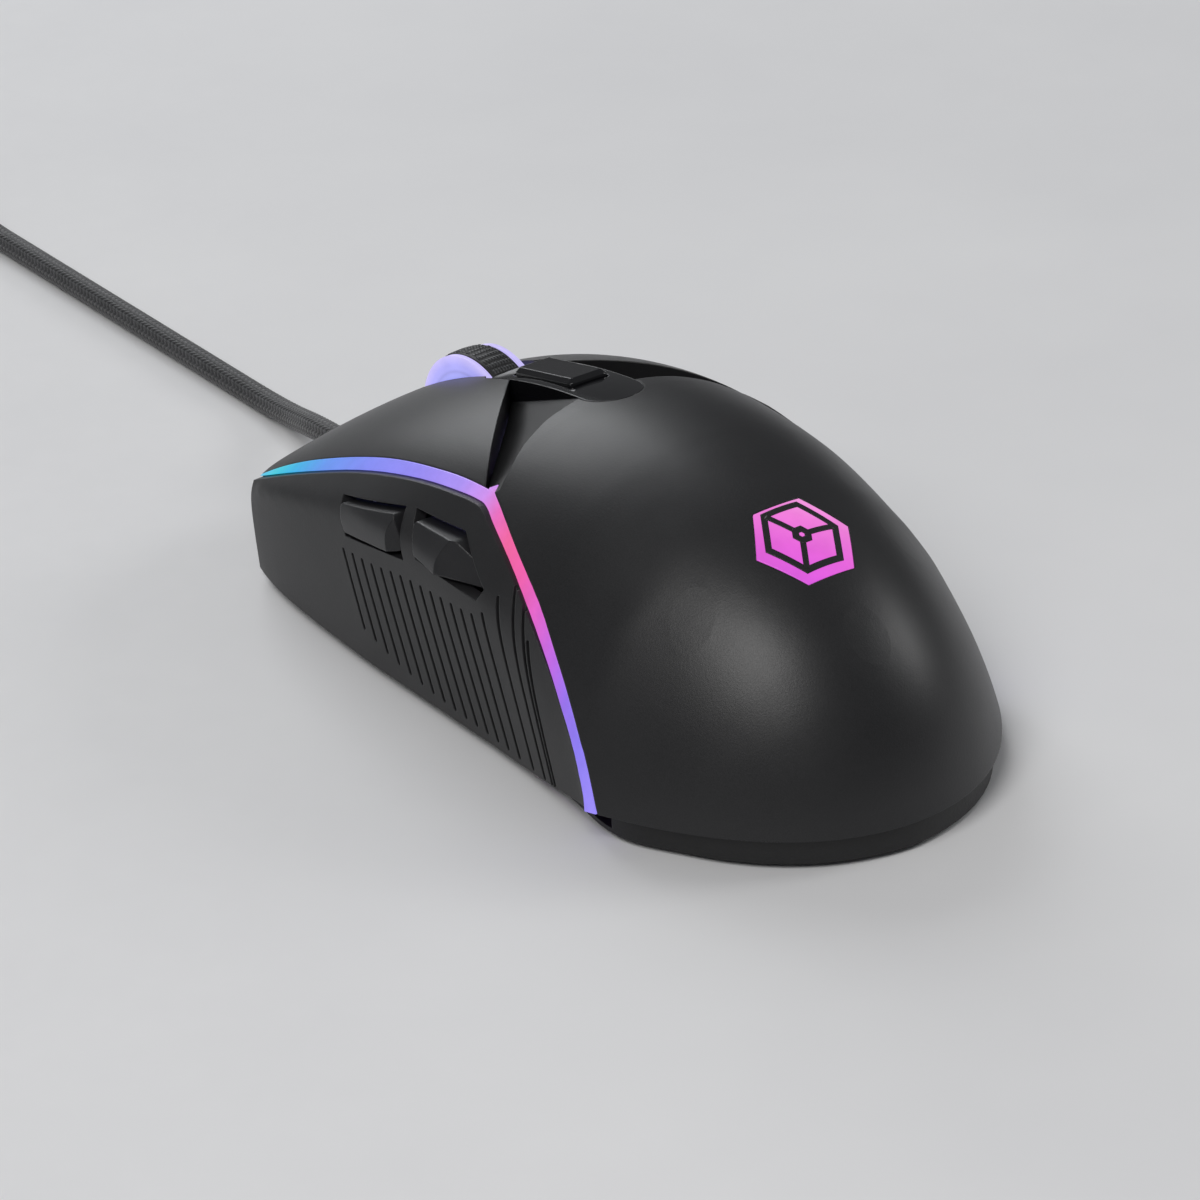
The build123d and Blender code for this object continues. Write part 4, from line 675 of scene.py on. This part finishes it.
def wheel_tyre():
    low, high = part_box("wheel_tyre")
    centre_y, centre_z = (low.y + high.y) / 2, (low.z + high.z) / 2
    outer = (high.z - low.z) / 2
    half = (high.x - low.x) / 2
    inner = outer - TYRE_THICKNESS
    around, across = PIP_ROWS * PIP_ROW_STEPS, 62
    xs = np.linspace(-half, half, across)
    angles = np.arange(around) / around * 2 * np.pi
    edge = np.clip((np.abs(xs) - (half - TYRE_EDGE)) / TYRE_EDGE, 0, 1)
    tread = (outer - TYRE_CROWN * (xs / half) ** 2
             - TYRE_EDGE_DROP * (1 - np.sqrt(np.clip(1 - edge ** 2, 0, 1))) - PIP_HEIGHT)
    pitch = (2 * half - 0.0006) / PIPS_ACROSS
    inside = np.abs(xs) < half - TYRE_EDGE

    def ring(x, radius, angle):
        return np.stack([x, centre_y + radius * math.sin(angle),
                         centre_z + radius * math.cos(angle)], 1)

    rings, pips = [], []
    for angle, row in zip(angles, angles / (2 * np.pi) * PIP_ROWS):
        k = math.floor(row)
        cell_y = (row - k) * 2 - 1
        cell = xs / pitch + (0.5 if k % 2 else 0.0)    # odd rows are staggered
        cell_x = (cell - np.floor(cell)) * 2 - 1
        distance = np.sqrt((cell_x / PIP_SIZE) ** 2 + (cell_y / PIP_SIZE) ** 2)
        pip = np.clip(1.25 - distance, 0, 0.45) / 0.45 * inside
        rings.append(ring(xs, tread + PIP_HEIGHT * pip, angle))
        pips.append(pip)
    bore = [ring(np.array([-half, half]), np.full(2, inner), angle) for angle in angles]

    faces = grid_faces(around, across, wrap_rows=True)
    first = around * across     # first vertex of the bore
    for i in range(around):
        j = (i + 1) % around
        a, b = first + 2 * i, first + 2 * j
        faces.append((a, b, j * across, i * across))
        faces.append((i * across + across - 1, j * across + across - 1, b + 1, a + 1))
        faces.append((a + 1, b + 1, b, a))
    obj = make("pipped_tyre", np.concatenate(rings + bore), faces, tyre_material(),
               sharp_angle=40)
    attribute = obj.data.attributes.new("pip", "FLOAT", "POINT")
    heights = np.r_[np.concatenate(pips), np.zeros(2 * around)]
    attribute.data.foreach_set("value", heights.astype(np.float32))
    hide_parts("wheel_tyre")
    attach(obj, "scroll_wheel")


wheel_tyre()


# ------------------------------------------------------------------ badge motif: hexagon mark
def inlay(name, surface, grid, top, closed=False, bottom=-0.00004):
    """A thin closed plate that follows a surface. grid: rows x columns of (x, y);
    closed joins the last row to the first. top and bottom are heights off the surface."""
    points = np.array(grid)
    rows, cols = points.shape[:2]
    upper, lower = [], []
    for x, y in points.reshape(-1, 2):
        hit, normal, *_ = surface.ray_cast(Vector((x, y, 0.08)), Vector((0, 0, -1)))
        if hit is None:
            hit, normal, *_ = surface.find_nearest(Vector((x, y, 0.036)))
        if normal.z < 0:
            normal = -normal
        upper.append(hit + normal * top)
        lower.append(hit + normal * bottom)
    count = rows * cols
    top_faces = grid_faces(rows, cols, wrap_rows=closed)
    faces = top_faces + [tuple(i + count for i in quad[::-1]) for quad in top_faces]
    if closed:
        first_col = [i * cols for i in range(rows)]
        rims = [first_col[::-1], [i + cols - 1 for i in first_col]]
    else:
        rims = [list(range(cols)) + [i * cols + cols - 1 for i in range(1, rows)]
                + [(rows - 1) * cols + j for j in range(cols - 2, -1, -1)]
                + [i * cols for i in range(rows - 2, 0, -1)]]
    for rim in rims:
        for a, b in zip(rim, rim[1:] + rim[:1]):
            faces.append((a, a + count, b + count, b))
    obj = make(name, upper + lower, faces, FINISHES["shell"], sharp_angle=35)
    mesh = bmesh.new()
    mesh.from_mesh(obj.data)
    bmesh.ops.recalc_face_normals(mesh, faces=mesh.faces)
    mesh.to_mesh(obj.data)
    mesh.free()
    return obj


def badge_marks():
    """A hexagonal band, three spokes and a hexagonal core on the badge lens."""
    surface = surface_of("badge_lens")
    low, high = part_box("badge_lens")
    centre_x, centre_y = (low.x + high.x) / 2, (low.y + high.y) / 2
    radius = (high.x - low.x) / 2
    # the lens slopes, so seen from above the hexagon is scaled in y
    scale_y = (high.y - low.y) / (high.x - low.x) * (2 / math.sqrt(3))

    def hexagon(radii, steps):
        """Rows of points round a hexagon, one column per radius, steps rows per side."""
        rows = []
        for q in range(6 * steps):
            side = q // steps
            f = q / steps - side
            a, b = math.radians(60 * side), math.radians(60 * (side + 1))
            x = (1 - f) * math.cos(a) + f * math.cos(b)
            y = (1 - f) * math.sin(a) + f * math.sin(b)
            rows.append([(centre_x + r * x, centre_y + scale_y * r * y) for r in radii])
        return rows

    def spoke(angle):
        cos, sin = math.cos(angle), math.sin(angle)
        return [[(centre_x + radius * (cos * out - sin * aside),
                  centre_y + scale_y * radius * (sin * out + cos * aside))
                 for aside in np.linspace(-0.055, 0.055, 4)]
                for out in np.linspace(0.10, 0.70, 13)]

    band = hexagon(np.linspace(radius * 0.66, radius * 0.80, 5), steps=12)
    core = hexagon(np.linspace(0.0004, radius * 0.20, 4), steps=6)
    marks = [inlay("badge_band", surface, band, top=0.00005, closed=True)]
    for k in range(3):
        marks.append(inlay(f"badge_spoke_{k}", surface, spoke(math.radians(120 * k)),
                           top=0.00006))
    marks.append(inlay("badge_core", surface, core, top=0.00007, closed=True))
    for obj in marks:
        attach(obj, "housing")


badge_marks()


# ------------------------------------------------------------------ floor
FLOOR_HALF = 3.0
FLOOR_CELLS = 24
FLOOR_Z = -0.00005


def floor():
    mat = NodeMaterial("stage_floor")
    broad = mat.noise(scale=9.0, detail=4.0)
    fine = mat.noise(scale=260.0)
    mat.set(Base_Color=mat.mix(mat.vary(broad), (0.80, 0.80, 0.81), (0.85, 0.85, 0.855)),
            Roughness=mat.vary(fine, to=(0.6, 0.75)), Specular_IOR_Level=0.25)
    mat.bump(fine, depth=0.0001, strength=0.25)
    ticks = [(i / FLOOR_CELLS - 0.5) * 2 * FLOOR_HALF for i in range(FLOOR_CELLS + 1)]
    verts = [(x, y, FLOOR_Z) for x in ticks for y in ticks]
    make("floor", verts, grid_faces(FLOOR_CELLS + 1, FLOOR_CELLS + 1), mat)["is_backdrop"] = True


floor()


# ------------------------------------------------------------------ lights and world
# Square area lights: name, location, target, size, power in watts, colour.
LIGHTS = [
    ("soft_key", (-0.55, -0.35, 0.75), (0, -0.01, 0.02), 0.50, 4.6, (1.0, 0.99, 0.98)),
    ("soft_back", (0.15, 0.85, 0.60), (0, 0.0, 0.02), 0.60, 4.0, (0.96, 0.98, 1.0)),
    ("soft_right", (0.75, -0.35, 0.45), (0, -0.02, 0.02), 0.30, 1.6, (1.0, 1.0, 1.0))]

for name, location, target, size, power, color in LIGHTS:
    light = bpy.data.lights.new(name, "AREA")
    light.shape = "SQUARE"
    light.size = size
    light.energy = power
    light.color = color
    lamp = bpy.data.objects.new(name, light)
    scene.collection.objects.link(lamp)
    lamp.location = location
    aim = Vector(target) - Vector(location)
    lamp.rotation_euler = aim.to_track_quat("-Z", "Y").to_euler()


def studio_world():
    """Dim grey surroundings, lighter and bluer upwards."""
    world = bpy.data.worlds.new("studio")
    scene.world = world
    world.use_nodes = True
    tree = world.node_tree
    background = next(n for n in tree.nodes if n.type == "BACKGROUND")
    coords = tree.nodes.new("ShaderNodeTexCoord")
    split = tree.nodes.new("ShaderNodeSeparateXYZ")
    ramp = tree.nodes.new("ShaderNodeValToRGB")
    below, above = ramp.color_ramp.elements
    below.position, below.color = 0.0, (0.55, 0.56, 0.58, 1)
    above.position, above.color = 1.0, (0.80, 0.82, 0.86, 1)
    tree.links.new(coords.outputs["Generated"], split.inputs[0])
    tree.links.new(split.outputs[2], ramp.inputs[0])
    tree.links.new(ramp.outputs[0], background.inputs[0])
    background.inputs["Strength"].default_value = 0.20


studio_world()

# ------------------------------------------------------------------ camera
HEADING = 0.5991            # radians from +Y towards +X
DOWNWARD = 0.48127          # radians below level
ROLL = -0.04501             # radians
DISTANCE_MM = 650.0
TARGET_MM = Vector((-13.52097, -12.32637, 20.0))
SENSOR_WIDTH_MM = 36.0
LENS_MM = 148.214868


def product_camera():
    data = bpy.data.cameras.new("camera")
    data.sensor_fit = "HORIZONTAL"
    data.sensor_width = SENSOR_WIDTH_MM
    data.lens = LENS_MM
    data.clip_start = 0.01
    data.clip_end = 20.0
    camera = bpy.data.objects.new("camera", data)
    scene.collection.objects.link(camera)
    forward = Vector((math.sin(HEADING) * math.cos(DOWNWARD),
                      math.cos(HEADING) * math.cos(DOWNWARD), -math.sin(DOWNWARD)))
    level = Vector((math.cos(HEADING), -math.sin(HEADING), 0.0))
    upright = level.cross(forward)
    right = level * math.cos(ROLL) + upright * math.sin(ROLL)
    up = -level * math.sin(ROLL) + upright * math.cos(ROLL)
    position = (TARGET_MM - forward * DISTANCE_MM) * MM
    camera.matrix_world = Matrix([*zip(right, up, -forward, position), (0, 0, 0, 1)])
    scene.camera = camera


product_camera()
scene.view_settings.view_transform = "Standard"
scene.view_settings.look = "None"

bpy.context.view_layer.update()
look_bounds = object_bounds()


def plain(bounds):
    """Bounds as lists of floats, whether they are flat or a pair of corners."""
    if hasattr(bounds[0], "__len__"):
        return [[float(v) for v in corner] for corner in bounds]
    return [float(v) for v in bounds]


{"cad": plain(cad_bounds), "visual": plain(look_bounds)}
